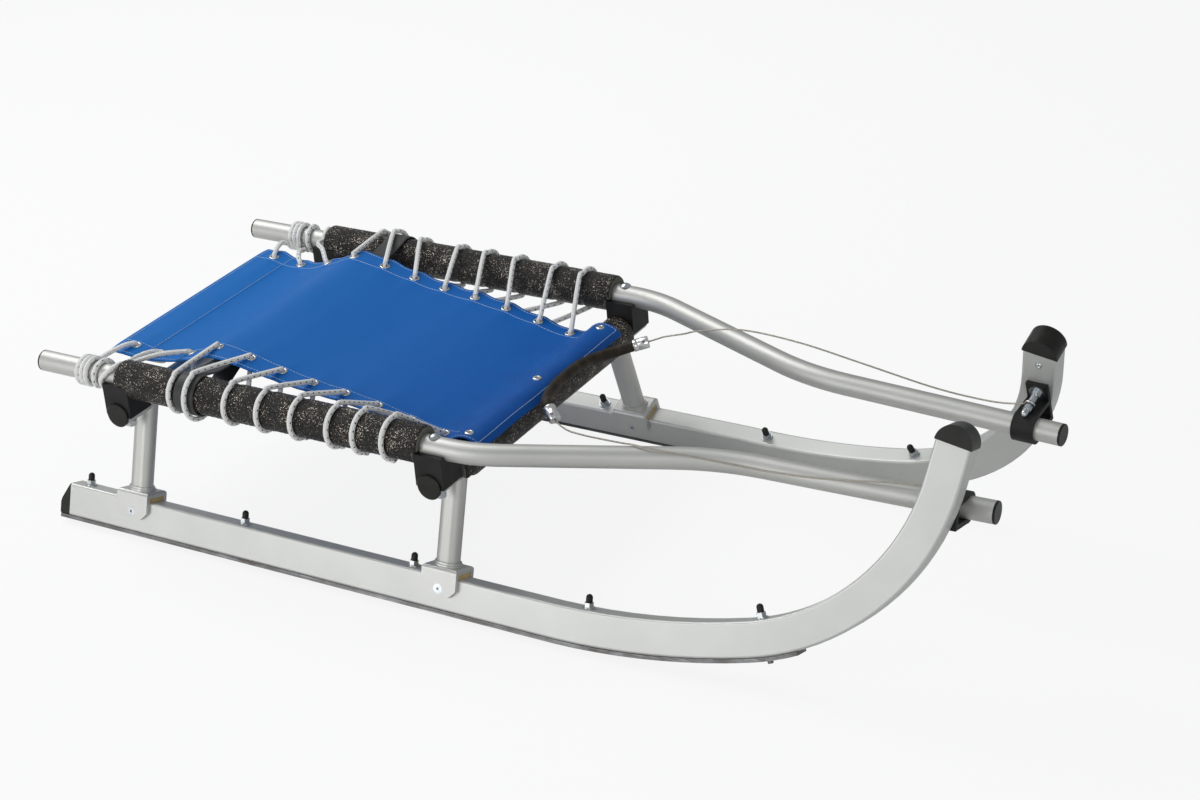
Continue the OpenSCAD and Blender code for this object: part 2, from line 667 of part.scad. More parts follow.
// Black caps in the rails' ends
module end_cap() {
    rotate([0, 90, 0]) {
        cylinder(d = rail_d, h = rail_cap_t - 0.6, $fn = 96);
        translate([0, 0, rail_cap_t - 0.6]) cylinder(d1 = rail_d, d2 = rail_d - 1.2, h = 0.6, $fn = 96);
        translate([0, 0, -10]) cylinder(d = rail_d - 2 * rail_wall - 0.3, h = 10.1, $fn = 96);
    }
}
module rail_caps() {
    color("black") for (s = [1, -1]) side(s) {
        translate([-rail_len / 2, rail_y, rail_z]) rotate([0, 0, 180]) end_cap();
        on_rail_tip() translate([tip_len, 0, 0]) end_cap();
    }
}

// Horn clamp: a strap with a tab on the horn's inner face, laid over the rail, round it and back to the horn
function touch(p, c, r, s) = let (d = c - p, l = norm(d), a = atan2(d[1], d[0]) + s * asin(r / l))
    p + sqrt(l * l - r * r) * [cos(a), sin(a)];
module strap_shape(r, t, low, high) {
    c = [rail_in_horn_y, clamp_up];
    knee = [horn_face_y - t, horn_bolt_up - 9.5 - 2 * (clamp_t - t)];
    foot = [horn_face_y, low];
    polygon([
        [horn_face_y, high], [horn_face_y - t, high], knee, touch(knee, c, r - 0.4, -1), c,
        touch(foot, c, r - 0.4, 1), foot
    ]);
    translate(c) circle(r, $fn = 96);
}
module clamp_body() {
    low = clamp_up - 19;
    high = horn_bolt_up + 11;
    difference() {
        on_rise() translate([rail_in_horn_x - clamp_w / 2, 0, 0]) rotate([90, 0, 90]) linear_extrude(clamp_w)
            difference() {
                strap_shape(rail_d / 2 + clamp_t, clamp_t, low, high);
                translate([rail_in_horn_y, clamp_up]) circle(rail_d / 2 + clip_gap, $fn = 96);
                polygon([
                    [horn_face_y - clamp_t, horn_bolt_up - 15], [rail_in_horn_y, clamp_up + rail_d / 2 - 0.5],
                    [rail_in_horn_y, clamp_up - rail_d / 2 + 0.5], [horn_face_y - clamp_t, low + 6.5]
                ]);
            }
        on_horn() rotate([90, 0, 0]) {
            cylinder(d = horn_bolt_d + bolt_gap, h = 80);
            translate([0, 0, eye_at - eye_room])
                cylinder(d = 2 * eye_r + eye_wire_d + 4 * bolt_gap, h = 2 * eye_room);
        }
    }
}
module horn_clamp_left() { color("black") clamp_body(); }
module horn_clamp_right() { color("black") side(-1) clamp_body(); }

// Horn bolt: head inside the horn, wide washer and nut on the clamp's tab, then a sleeve, the cable's eye
// and a cap nut with a domed end
eye_at = -horn_face_y + 24;
eye_room = 3.3;
eye_r = 5;
eye_wire_d = 2.4;
washer_at = -horn_face_y + clamp_t;
module horn_bolt() {
    inner = -horn_face_y - runner_wall;
    sleeve_d = 2 * (horn_bolt_rise - clamp_t - bolt_gap);
    on_horn() rotate([90, 0, 0]) {
        translate([0, 0, inner - 4]) cylinder(d = 11, h = 4, $fn = 6);
        translate([0, 0, inner - 0.5]) cylinder(d = horn_bolt_d, h = eye_at + 10 - inner);
        translate([0, 0, washer_at]) cylinder(d = 18, h = 1.6);
        translate([0, 0, washer_at + 1.5]) cylinder(d = 11, h = 5, $fn = 6);
        translate([0, 0, washer_at + 6]) cylinder(d = sleeve_d, h = eye_at - eye_room - washer_at - 6);
        translate([0, 0, eye_at + eye_room]) cylinder(d = sleeve_d + 2, h = 6, $fn = 6);
        translate([0, 0, eye_at + eye_room + 5.9]) cylinder(d = sleeve_d, h = 5);
        translate([0, 0, eye_at + eye_room + 10.9]) sphere(d = sleeve_d, $fn = 48);
    }
}
module horn_bolts() { color("silver") for (s = [1, -1]) side(s) horn_bolt(); }

// Foam sleeves on the rails, cut away round the saddles and pressed in under the rope loops
module foam_on_rail(loop_at) {
    difference() {
        translate([foam_rear_x, rail_y, rail_z]) rotate([0, 90, 0])
            cylinder(d = foam_d, h = foam_front_x - foam_rear_x, $fn = 96);
        translate([foam_rear_x - 1, rail_y, rail_z]) rotate([0, 90, 0])
            cylinder(d = rail_d, h = foam_front_x - foam_rear_x + 2, $fn = 96);
        for (x = [front_x, rear_x])
            translate([x - saddle_l / 2 - soft_gap, rail_y - foam_r - 1, rail_z - foam_r - 1])
                cube([saddle_l + 2 * soft_gap, foam_d + 2, foam_r - 1.6]);
        for (i = [front_loop : last]) if (!on_strap(eyelets[i][loop_at]))
            translate([eyelets[i][loop_at], rail_y, rail_z]) rotate([0, 90, 0])
                rotate_extrude($fn = 96) translate([lace_r, 0]) circle(groove_r, $fn = 24);
    }
}
module rail_pad_left() { color([0.1, 0.1, 0.1]) foam_on_rail(2); }
module rail_pad_right() { color([0.1, 0.1, 0.1]) side(-1) foam_on_rail(3); }

// Foam sleeve on the front cross tube, cut away round the legs and bored for the rivets
module cross_pad() {
    l = seat_gauge - saddle_w - 8;
    color([0.1, 0.1, 0.1]) difference() {
        translate([front_x, 0, tube_z]) rotate([90, 0, 0])
            cylinder(d = foam_d, h = l, center = true, $fn = 96);
        translate([front_x, 0, tube_z]) rotate([90, 0, 0])
            cylinder(d = tube_d, h = l + 2, center = true, $fn = 96);
        for (s = [1, -1]) side(s) on_runner(front_x) linear_extrude(leg_reach) oval(soft_gap);
        at_rivets();
    }
}

// Seat fabric: a panel laced between the rails and a flap riveted over the front foam
module at_eyelets() {
    for (s = [1, -1]) for (i = [0 : last]) translate([eyelets[i][0], s * eyelet_y, rail_z + eyelets[i][1]])
        rotate([0, -atan(slope_at(i)), 0]) children();
}
module sheet_form(line, t, half) {
    rotate([90, 0, 0]) linear_extrude(2 * half, center = true) polygon(ribbon(line, t));
}
module seat_fabric() {
    color("royalblue") difference() {
        union() {
            intersection() {
                sheet_form(panel, fabric_t, rail_y);
                linear_extrude(2 * rail_z) polygon(outline(fabric_edge));
            }
            sheet_form(flap, flap_t, flap_half);
        }
        at_eyelets() cylinder(r = eyelet_bore_r + barrel_t + bolt_gap / 2, h = 30, center = true);
        at_rivets();
    }
}

// Metal eyelets in the fabric, each a rolled ring with a washer below
barrel_t = 0.6;
ring_t = 0.8;
seat_gap = 0.05;
eyelet_half = fabric_t / 2 + seat_gap + ring_t;
module seat_eyelets() {
    color("silver") at_eyelets() difference() {
        union() {
            cylinder(r = eyelet_bore_r + barrel_t, h = 2 * eyelet_half, center = true);
            for (m = [0, 1]) mirror([0, 0, m]) translate([0, 0, eyelet_half - ring_t])
                cylinder(r = eyelet_r - m * 0.6, h = ring_t);
        }
        cylinder(r = eyelet_bore_r, h = 12, center = true);
    }
}

// Rivets through the flap and the front foam into the cross tube
module flap_rivets() {
    top = tube_z + flap_r + flap_t / 2 + seat_gap;
    foot = tube_z + tube_d / 2 - tube_wall - 1;
    color("silver") for (y = rivets_y) translate([front_x, y, 0]) {
        translate([0, 0, foot]) cylinder(r = rivet_shank_r, h = top - foot + 0.5);
        translate([0, 0, top]) cylinder(r1 = rivet_r, r2 = rivet_r - 1.2, h = 1.4);
    }
}

// Support strap: a band from foam to foam under the fabric, each end wrapped round the foam and sewn back below
strap_r = foam_r + soft_gap + strap_t / 2;
strap_z = rail_z + 16.2;
strap_bend_y = max([for (e = fabric_edge) e[1]]) + 2;
strap_half = concat(
    [[112, strap_z - strap_t - 0.4], [128, strap_z - strap_t - 1.8]],
    [for (a = [-113 : 11 : 96]) [rail_y + strap_r * cos(a), rail_z + strap_r * sin(a)]],
    [[strap_bend_y, strap_z], [60, strap_z]]
);
strap_line = concat(strap_half, [for (p = backward(strap_half)) [-p[0], p[1]]]);
function across(p, i) = let (d = unit(p[min(i + 1, len(p) - 1)] - p[max(i - 1, 0)])) [-d[1], d[0]];
function band(p, t) = concat(
    [for (i = [0 : len(p) - 1]) p[i] + t / 2 * across(p, i)],
    [for (i = [len(p) - 1 : -1 : 0]) p[i] - t / 2 * across(p, i)]
);
module support_strap() {
    color([0.08, 0.08, 0.08]) translate([strap_x + strap_w / 2, 0, 0]) rotate([90, 0, -90]) linear_extrude(strap_w)
        mirror([1, 0]) polygon(band(strap_line, strap_t));
}

// Lacing, front to rear: up through an eyelet, over and round the foam and up through the next one. Behind the
// foam the rope takes one turn round the bare rail, goes down through the second eyelet and up through the rear
// one, and ends in a tight winding
rope_r = rope_d / 2;
turn_step = 21;
lace_r = foam_r + rope_r - rope_bite;
ease_r = foam_r + rope_r + soft_gap + 0.1;
strap_lace_r = foam_r + strap_t + rope_r + 2 * soft_gap + 0.6;
groove_r = rope_r + soft_gap + lace_r * (1 - cos(turn_step / 2));
wind_r = rail_d / 2 + rope_r + 0.6;
wind_turns = 3;
wind_pitch = 6.3;
function on_strap(x) = abs(x - strap_x) < strap_w / 2 + rope_r;
function on_ring(x, r, a) = [x, rail_y + r * sin(a), rail_z + r * cos(a)];

// Points near an eyelet: out from its axis, up along it, and turned from the outboard direction toward the front
function at_eyelet(i, out, up, turn = 0) = let (a = atan(slope_at(i))) [
    eyelets[i][0] + out * sin(turn) * cos(a) - up * sin(a),
    eyelet_y + out * cos(turn),
    rail_z + eyelets[i][1] + out * sin(turn) * sin(a) + up * cos(a)
];
function lean(i, x) = atan2(x - eyelets[i][0], 62);
function low_lean(i, x) = on_strap(x) ? 0 : lean(i, x);
function rim(i, turn) =
    [for (p = [[0.2, -1.8], [0.2, 1.6], [0.9, 3.9], [2.7, 5.5], [5, 6]]) at_eyelet(i, p[0], p[1], turn)];
function under(i, at) = i == last ? [at_eyelet(i, 1, -13)] :
    let (turn = low_lean(i, eyelets[i + 1][at])) [at_eyelet(i, 5, -7.2, turn), at_eyelet(i, 2.2, -6, turn)];
function backward(p) = [for (i = [len(p) - 1 : -1 : 0]) p[i]];

// Direction of a point from the rail, and the angle between it and the point's tangent to a ring
function aim(p, r) = let (v = [p[1] - rail_y, p[2] - rail_z], a = atan2(v[1], v[0]))
    [a < 0 ? a + 360 : a, acos(r / norm(v))];
function loop(i, at) =
    let (
        x = eyelets[i][at], next = eyelets[i - 1][0], over = on_strap(x),
        r = over ? strap_lace_r : lace_r, end_r = over ? r : ease_r,
        top = aim(at_eyelet(i, 5, 6, lean(i, x)), end_r),
        low = aim(at_eyelet(i - 1, 5, -7.2, low_lean(i - 1, x)), end_r),
        a0 = 90 - top[0] + top[1], a1 = 450 - low[0] - low[1], n = ceil((a1 - a0) / turn_step)
    ) concat(
        under(i, at), rim(i, lean(i, x)),
        [for (k = [0 : n]) on_ring(x, k == 0 || k == n ? end_r : r, a0 + (a1 - a0) * k / n)],
        over ? [[0.75 * x + 0.25 * next, 180, rail_z - 19.6], [0.3 * x + 0.7 * next, 165, rail_z - 13.6],
            [next, 151, rail_z - 7]] : []
    );
rail_turn = concat(
    [[-60, -464], [-38, -464.5], [-16, -465.3], [6, -466.5], [28, -469.5], [50, -474], [71, -479], [90, -482.7]],
    [for (k = [0 : 22]) [112 + 21.5 * k, -483.2 - 0.65 * k]]
);
function lace(at) = concat(
    [for (i = [last : -1 : front_loop]) for (p = loop(i, at)) p],
    under(front_loop - 1, at), rim(front_loop - 1, -50),
    [[-440, 162, rail_z + 13.2], [-457, 176.5, rail_z + 10.2], [-463.8, 187, rail_z + 8.6]],
    [for (p = rail_turn) on_ring(p[1], wind_r, p[0])],
    [[-491.5, 187, rail_z - 7.5], [-485, 173, rail_z - 1], [-476, 158.5, rail_z + 3.4],
        [-468.5, 147.5, rail_z + 3.8]],
    backward(rim(1, -50)),
    [[-459.5, eyelet_y, rail_z - 9.2], [-464, eyelet_y, rail_z - 11.8], [-480, eyelet_y, rail_z - 12.6],
        [-494, eyelet_y, rail_z - 9.6], [-498.4, eyelet_y, rail_z - 6]],
    rim(0, -20),
    [[-506, 154, rail_z + 8], [-514, 171, rail_z + 5], [-521, 184.5, rail_z - 0.3]],
    [for (k = [0 : 16 * wind_turns - 1]) on_ring(wind_pitch * k / 16 - 521.5, wind_r, -115 - 22.5 * k)],
    [[-502.7, 193.3, rail_z - 6.5], [-502.5, 192, rail_z - 13], [-502, 189, rail_z - 19]]
);
module lacing_left() { color("white") swept(lace(2), rope_d, 8); }
module lacing_right() { color("white") side(-1) swept(lace(3), rope_d, 8); }

// Rein: a hose handle on a steel cable that ends in an eye on each horn bolt
cable_left = [
    [54, 127, 193.5], [66, 126.6, 199.3], [78, 126, 204.9], [104, 122.5, 214.5], [129, 118, 225],
    [188, 112, 239.5], [261, 109, 238.5],
    [337, 108, 228], [421.5, 107, 215.5], [474.5, 104.5, 213], [509, 101, 215.5], [535, 98.8, 220.9]
];
cable_right = [
    [45, -73, 184], [51.4, -78, 184], [71.4, -90, 185.3], [94.2, -101, 190.5], [121.4, -113, 197.6],
    [163.6, -131, 209.4], [176, -136.7, 213.4], [186, -140.4, 216], [206, -139.4, 215],
    [235, -132.5, 211.4], [277, -123.4, 206.4],
    [324, -117.4, 203.5], [372, -114.4, 204.7], [418, -109.6, 207.6], [462, -103.5, 212], [499, -99.5, 214.6],
    [518, -99, 217.5], [535, -98.8, 220.9]
];
hose_line = [
    [21, 102, 185], [12, 86, 185.4], [6, 67, 186.6], [4.6, 43, 189.2], [5, 22.4, 189.8], [5, 4.6, 189.7],
    [7, -13, 189.6], [11, -31, 189.1], [17, -45.6, 190.4], [24.5, -56.5, 194.5]
];
ferrule_from = [[38, 116, 189.4], [33, -64.5, 193.3]];
function hose_end(cable, i, d) = cable[0] + (ferrule_l + d) * unit(ferrule_from[i] - cable[0]);
hose = concat(
    [hose_end(cable_left, 0, 0.1), hose_end(cable_left, 0, 4)],
    hose_line,
    [hose_end(cable_right, 1, 4), hose_end(cable_right, 1, 0.1)]
);
module rein_handle() { color([0.15, 0.12, 0.1]) swept(hose, hose_d, 12); }
module along(a, b) {
    d = b - a;
    translate(a) rotate([0, acos(d[2] / norm(d)), atan2(d[1], d[0])]) children();
}
module rein_ferrules() {
    color("silver") {
        along(cable_left[0], ferrule_from[0]) cylinder(d = ferrule_d, h = ferrule_l);
        along(cable_right[0], ferrule_from[1]) cylinder(d = ferrule_d, h = ferrule_l);
    }
}
module rein_eyes() {
    color("silver") for (s = [1, -1]) side(s) on_horn() translate([0, -eye_at, 0]) rotate([90, 0, 0])
        rotate_extrude() translate([eye_r, 0]) circle(d = eye_wire_d, $fn = 24);
}
module rein_cable_left() { color("gray") swept(cable_left, cable_d, 8); }
module rein_cable_right() { color("gray") swept(cable_right, cable_d, 8); }

runner_left();
runner_right();
running_strip_left();
running_strip_right();
strip_bolts_left();
strip_bolts_right();
strip_bolt_caps();
horn_cap_left();
horn_cap_right();
tail_cap_left();
tail_cap_right();
crossbar_front();
crossbar_rear();
crossbar_caps();
leg_front_left();
leg_front_right();
leg_rear_left();
leg_rear_right();
shoe_front_left();
shoe_front_right();
shoe_rear_left();
shoe_rear_right();
shoe_pads();
shoe_screws();
saddle_front_left();
saddle_front_right();
saddle_rear_left();
saddle_rear_right();
saddle_bolts();
rail_left();
rail_right();
rail_caps();
horn_clamp_left();
horn_clamp_right();
horn_bolts();
rail_pad_left();
rail_pad_right();
cross_pad();
seat_fabric();
seat_eyelets();
flap_rivets();
support_strap();
lacing_left();
lacing_right();
rein_handle();
rein_ferrules();
rein_eyes();
rein_cable_left();
rein_cable_right();
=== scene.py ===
import bmesh
import bpy
import numpy as np
from mathutils import Matrix


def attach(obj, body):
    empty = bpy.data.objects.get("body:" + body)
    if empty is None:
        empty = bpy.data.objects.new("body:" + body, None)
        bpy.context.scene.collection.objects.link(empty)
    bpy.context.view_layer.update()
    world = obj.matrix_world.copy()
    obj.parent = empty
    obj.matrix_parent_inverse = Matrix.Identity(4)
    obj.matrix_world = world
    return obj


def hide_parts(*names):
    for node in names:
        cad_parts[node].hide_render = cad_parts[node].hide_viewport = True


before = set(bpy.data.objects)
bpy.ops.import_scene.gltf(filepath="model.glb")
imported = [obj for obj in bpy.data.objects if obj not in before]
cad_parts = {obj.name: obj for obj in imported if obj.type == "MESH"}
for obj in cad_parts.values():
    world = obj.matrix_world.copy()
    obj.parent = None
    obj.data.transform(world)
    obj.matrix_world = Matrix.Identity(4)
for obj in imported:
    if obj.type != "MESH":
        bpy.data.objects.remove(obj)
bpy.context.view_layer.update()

# The photographer's camera, set by its compass angle, its downward tilt and a slight roll.
# A long lens stands about 3 m off the sled's right front corner, at head height.
camera_turn, camera_tilt, camera_roll = np.radians([32.17, 27.00, -4.37])
camera_place = (1.4664, -2.2356, 1.5237)
lens_mm = 78.04
right = np.array([np.cos(camera_turn), np.sin(camera_turn), 0.0])
ahead = np.array([
    -np.sin(camera_turn) * np.cos(camera_tilt),
    np.cos(camera_turn) * np.cos(camera_tilt),
    -np.sin(camera_tilt),
])
upward = np.cross(right, ahead)
rolled_right = np.cos(camera_roll) * right + np.sin(camera_roll) * upward
rolled_up = np.cos(camera_roll) * upward - np.sin(camera_roll) * right
camera_data = bpy.data.cameras.new("studio_camera")
camera_data.sensor_width = 36
camera_data.lens = lens_mm
camera_data.clip_end = 50
camera = bpy.data.objects.new("studio_camera", camera_data)
camera_axes = Matrix([list(axes) for axes in zip(rolled_right, rolled_up, -ahead)])
camera.matrix_world = Matrix.Translation(camera_place) @ camera_axes.to_4x4()
bpy.context.scene.collection.objects.link(camera)
bpy.context.scene.camera = camera
bpy.context.scene.view_settings.view_transform = "Standard"


# The rein's two steel cables, 2 mm twisted wire rope, run from the handle's ferrules to the horn bolts' eyes.
# The near one is laid over the right rail, the far one arches free; both are stiff and springy.
# The pieces' places and sizes are in millimetres, and MM turns them into metres.
MM = 0.001


def smooth_route(points, per):
    """Curve through the points: each span is a cubic, its end slopes half the chord of the neighbours."""
    p = np.asarray(points, float)
    p = np.vstack([2 * p[0] - p[1], p, 2 * p[-1] - p[-2]])
    t = np.linspace(0, 1, per, endpoint=False)[None, :, None]
    a, b, c, d = (p[i : len(p) - 3 + i][:, None, :] for i in range(4))
    curve = 0.5 * (2 * b + (c - a) * t + (2 * a - 5 * b + 4 * c - d) * t**2 + (3 * b - a - 3 * c + d) * t**3)
    return np.vstack([curve.reshape(-1, p.shape[1]), p[-2:-1]])


def along_route(route):
    """Tangent, side and lift at each point of a route; the side is carried along it without twist."""
    tangent = np.gradient(route, axis=0)
    tangent /= np.linalg.norm(tangent, axis=1, keepdims=True)
    side = np.zeros_like(tangent)
    carried = np.cross(tangent[0], [0.13, 0.31, 0.94])
    for i, direction in enumerate(tangent):
        carried = carried - carried @ direction * direction
        carried = carried / np.linalg.norm(carried)
        side[i] = carried
    return tangent, side, np.cross(tangent, side)


def mesh_piece(name, corners, faces, uv=None, smooth=True):
    """Mesh object from corner places and quads; uv holds a pair for each corner of each face."""
    data = bpy.data.meshes.new(name)
    data.from_pydata(np.asarray(corners).reshape(-1, 3).tolist(), [], np.asarray(faces).tolist())
    if uv is not None:
        data.uv_layers.new(name="along").data.foreach_set("uv", np.asarray(uv, np.float32).ravel())
    data.polygons.foreach_set("use_smooth", np.full(len(data.polygons), smooth))
    data.update()
    piece = bpy.data.objects.new(name, data)
    bpy.context.scene.collection.objects.link(piece)
    return piece


def grid_faces(rows, columns, ring=True):
    """Quads of a grid of corners, closed round the columns where ring is true."""
    across = columns if ring else columns - 1
    i, k = np.meshgrid(np.arange(rows - 1), np.arange(across), indexing="ij")
    n = (k + 1) % columns
    quads = [i * columns + k, (i + 1) * columns + k, (i + 1) * columns + n, i * columns + n]
    return np.stack(quads, -1).reshape(-1, 4)


def weld(piece):
    """Merges corners that share a place and turns all faces outward."""
    work = bmesh.new()
    work.from_mesh(piece.data)
    bmesh.ops.remove_doubles(work, verts=work.verts, dist=1e-6)
    bmesh.ops.recalc_face_normals(work, faces=work.faces)
    work.to_mesh(piece.data)
    work.free()


def tube(name, route, radius, sides):
    """Round tube on a route: point = route + radius * (side * cos a + lift * sin a), with a fan at each end.
    Its UV is the length along it in metres and the share of the way round."""
    _, side, lift = along_route(route)
    angle = np.linspace(0, 2 * np.pi, sides, endpoint=False)
    ring = side[:, None] * np.cos(angle)[None, :, None] + lift[:, None] * np.sin(angle)[None, :, None]
    rows = np.r_[0, np.arange(len(route)), len(route) - 1]
    radii = np.r_[0, np.full(len(route), radius), 0]
    corners = route[rows, None] + radii[:, None, None] * ring[rows]
    faces = grid_faces(len(rows), sides)
    length = np.r_[0, np.cumsum(np.linalg.norm(np.diff(route, axis=0), axis=1))][rows]
    i, k = faces[:, 0] // sides, faces[:, 0] % sides
    uv = np.stack([
        np.stack([length[i], k / sides], -1), np.stack([length[i + 1], k / sides], -1),
        np.stack([length[i + 1], (k + 1) / sides], -1), np.stack([length[i], (k + 1) / sides], -1),
    ], 1)
    piece = mesh_piece(name, corners, faces, uv)
    weld(piece)
    return piece


def finish_nodes(name, colour, metallic=0.0, roughness=0.5):
    """New node material with its shader and coordinates; constants sit on the shader's own sockets."""
    material = bpy.data.materials.new(name)
    material.use_nodes = True
    nodes, links = material.node_tree.nodes, material.node_tree.links
    shader = nodes["Principled BSDF"]
    shader.inputs["Base Color"].default_value = (*colour, 1)
    shader.inputs["Metallic"].default_value = metallic
    shader.inputs["Roughness"].default_value = roughness
    place = nodes.new("ShaderNodeTexCoord")
    return material, nodes, links, shader, place


def add_math(nodes, links, operation, first, second):
    """Math node on two inputs, each a socket or a number."""
    node = nodes.new("ShaderNodeMath")
    node.operation = operation
    for socket, value in zip(node.inputs, (first, second)):
        if isinstance(value, (int, float)):
            socket.default_value = value
        else:
            links.new(value, socket)
    return node.outputs[0]


def add_noise(nodes, links, vector, scale, detail=2.0, roughness=0.5):
    """Noise node read at a vector; scale is in cycles per metre."""
    node = nodes.new("ShaderNodeTexNoise")
    node.inputs["Scale"].default_value = scale
    node.inputs["Detail"].default_value = detail
    node.inputs["Roughness"].default_value = roughness
    links.new(vector, node.inputs["Vector"])
    return node.outputs["Fac"]


def add_ramp(nodes, links, value, stops):
    """Colour ramp node with (place, colour) stops."""
    node = nodes.new("ShaderNodeValToRGB")
    ramp = node.color_ramp
    while len(ramp.elements) < len(stops):
        ramp.elements.new(0.5)
    for element, (place, colour) in zip(ramp.elements, stops):
        element.position = place
        element.color = (*colour, 1)
    links.new(value, node.inputs["Fac"])
    return node.outputs["Color"]


def paint(nodes, links, shader, value, stops):
    """Colour ramp with (place, colour) stops on a value, led to the shader's base colour."""
    links.new(add_ramp(nodes, links, value, stops), shader.inputs["Base Color"])


def add_bump(nodes, links, shader, height, strength, distance):
    """Bump node on the shader's normal; distance is the relief's height in metres."""
    node = nodes.new("ShaderNodeBump")
    node.inputs["Strength"].default_value = strength
    node.inputs["Distance"].default_value = distance
    links.new(height, node.inputs["Height"])
    links.new(node.outputs["Normal"], shader.inputs["Normal"])


def add_wave(nodes, links, u, v, along, around):
    """Sine wave that winds round a tube: sin(2 pi (along * u + around * v))."""
    turns_along = add_math(nodes, links, "MULTIPLY", u, float(along))
    turns_around = add_math(nodes, links, "MULTIPLY", v, float(around))
    turns = add_math(nodes, links, "ADD", turns_along, turns_around)
    return add_math(nodes, links, "SINE", add_math(nodes, links, "MULTIPLY", turns, 2 * np.pi), 0.0)


def add_uv(nodes, links, place):
    """The two parts of a tube's UV: metres along it, and turns round it."""
    parts = nodes.new("ShaderNodeSeparateXYZ")
    links.new(place.outputs["UV"], parts.inputs[0])
    return parts.outputs["X"], parts.outputs["Y"]


wire_rope, nodes, links, shader, place = finish_nodes("wire_rope", (0.56, 0.52, 0.45), 0.7, 0.42)
u, v = add_uv(nodes, links, place)
lay = add_wave(nodes, links, u, v, 90, 6)
lay_painted_shade = add_math(nodes, links, "ADD", add_math(nodes, links, "MULTIPLY", lay, 0.5), 0.5)
# The colour follows the lay: painted shade in the grooves between the strands, lighter on their crowns.
paint(nodes, links, shader, lay_painted_shade, [
    (0.0, (0.20, 0.18, 0.145)), (0.55, (0.50, 0.46, 0.39)), (1.0, (0.72, 0.68, 0.60))
])
add_bump(nodes, links, shader, lay, 0.6, 0.0003)

cable_diameter = 2 * MM
left_cable_route = [
    [54, 127, 193.5], [66, 126.6, 199.3], [78, 126, 204.9], [104, 122.5, 214.5], [129, 118, 225],
    [188, 112, 239.5], [261, 109, 238.5], [337, 108, 228], [421.5, 107, 215.5], [474.5, 104.5, 213],
    [509, 101, 215.5], [535, 98.8, 220.9],
]
right_cable_route = [
    [45, -73, 184], [51.4, -78, 184], [71.4, -90, 185.3], [94.2, -101, 190.5], [121.4, -113, 197.6],
    [163.6, -131, 209.4], [176, -136.7, 213.4], [186, -140.4, 216], [206, -139.4, 215], [235, -132.5, 211.4],
    [277, -123.4, 206.4], [324, -117.4, 203.5], [372, -114.4, 204.7], [418, -109.6, 207.6],
    [462, -103.5, 212], [499, -99.5, 214.6], [518, -99, 217.5], [535, -98.8, 220.9],
]
for side_name, route in (("left", left_cable_route), ("right", right_cable_route)):
    centre = smooth_route(np.array(route) * MM, 16)
    cable = tube("rein_wire_" + side_name, centre, cable_diameter / 2, 10)
    cable.data.materials.append(wire_rope)
    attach(cable, "rein")
    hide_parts("rein_cable_" + side_name)


# The rein's handle is a bent length of brown rubber hose, 13 mm thick, laid over the front foam.
# A turned aluminium ferrule on each end grips the cable with a small black set screw.
ferrule_length, ferrule_radius = 19, 7.25


def ferrule_point(cable_route, towards, further):
    """Point on a ferrule's axis, a distance in mm past its inner end; its outer end is the cable's start."""
    outer = np.array(cable_route[0], float)
    line = np.array(towards) - outer
    return outer + (ferrule_length + further) * line / np.linalg.norm(line)


left_ferrule_aim, right_ferrule_aim = [38, 116, 189.4], [33, -64.5, 193.3]
hose_gripped, hose_straight = -1, 4
hose_route = [
    ferrule_point(left_cable_route, left_ferrule_aim, hose_gripped),
    ferrule_point(left_cable_route, left_ferrule_aim, hose_straight),
    [21, 102, 185], [12, 86, 185.4], [6, 67, 186.6], [4.6, 43, 189.2], [5, 22.4, 189.8], [5, 4.6, 189.7],
    [7, -13, 189.6], [11, -31, 189.1], [17, -45.6, 190.4], [24.5, -56.5, 194.5],
    ferrule_point(right_cable_route, right_ferrule_aim, hose_straight),
    ferrule_point(right_cable_route, right_ferrule_aim, hose_gripped),
]
hose_rubber, nodes, links, shader, place = finish_nodes("hose_rubber", (0.03, 0.02, 0.012), 0.0, 0.5)
shader.inputs["Specular IOR Level"].default_value = 0.25
u, v = add_uv(nodes, links, place)
grain = add_noise(nodes, links, place.outputs["Object"], 900, 4, 0.6)
streaks = add_noise(nodes, links, place.outputs["Object"], 90, 3, 0.6)
paint(nodes, links, shader, streaks, [
    (0.30, (0.010, 0.008, 0.005)), (0.52, (0.024, 0.017, 0.009)), (0.75, (0.055, 0.036, 0.018))
])
ribs = add_wave(nodes, links, u, v, 620, 0)
add_bump(nodes, links, shader, add_math(nodes, links, "ADD", ribs, grain), 0.35, 0.0003)
handle = tube("rein_hose", smooth_route(np.array(hose_route) * MM, 14), 6.5 * MM, 36)
handle.data.materials.append(hose_rubber)
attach(handle, "rein")
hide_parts("rein_handle")


def turned(profile, axis_from, axis_to, sides):
    """Turned solid: each (height, radius) of the profile swept round the line from one point to another."""
    start, end = np.array(axis_from, float), np.array(axis_to, float)
    line = (end - start) / np.linalg.norm(end - start)
    side = np.cross(line, [0.2, 0.1, 0.97])
    side /= np.linalg.norm(side)
    lift = np.cross(line, side)
    angle = np.linspace(0, 2 * np.pi, sides, endpoint=False)
    heights, radii = np.array(profile, float).T
    ring = side * np.cos(angle)[:, None] + lift * np.sin(angle)[:, None]
    corners = start + heights[:, None, None] * line + radii[:, None, None] * ring[None]
    return corners.reshape(-1, 3), grid_faces(len(profile), sides)


def stacked(name, parts, material, closed=True):
    """One piece out of several (corners, faces) sets; closed ones are welded, with faces turned outward."""
    start = np.cumsum([0] + [len(corners) for corners, _ in parts])
    corners = np.vstack([corners for corners, _ in parts])
    faces = np.vstack([faces + first for (_, faces), first in zip(parts, start)])
    piece = mesh_piece(name, corners, faces)
    if closed:
        weld(piece)
    piece.data.materials.append(material)
    return piece


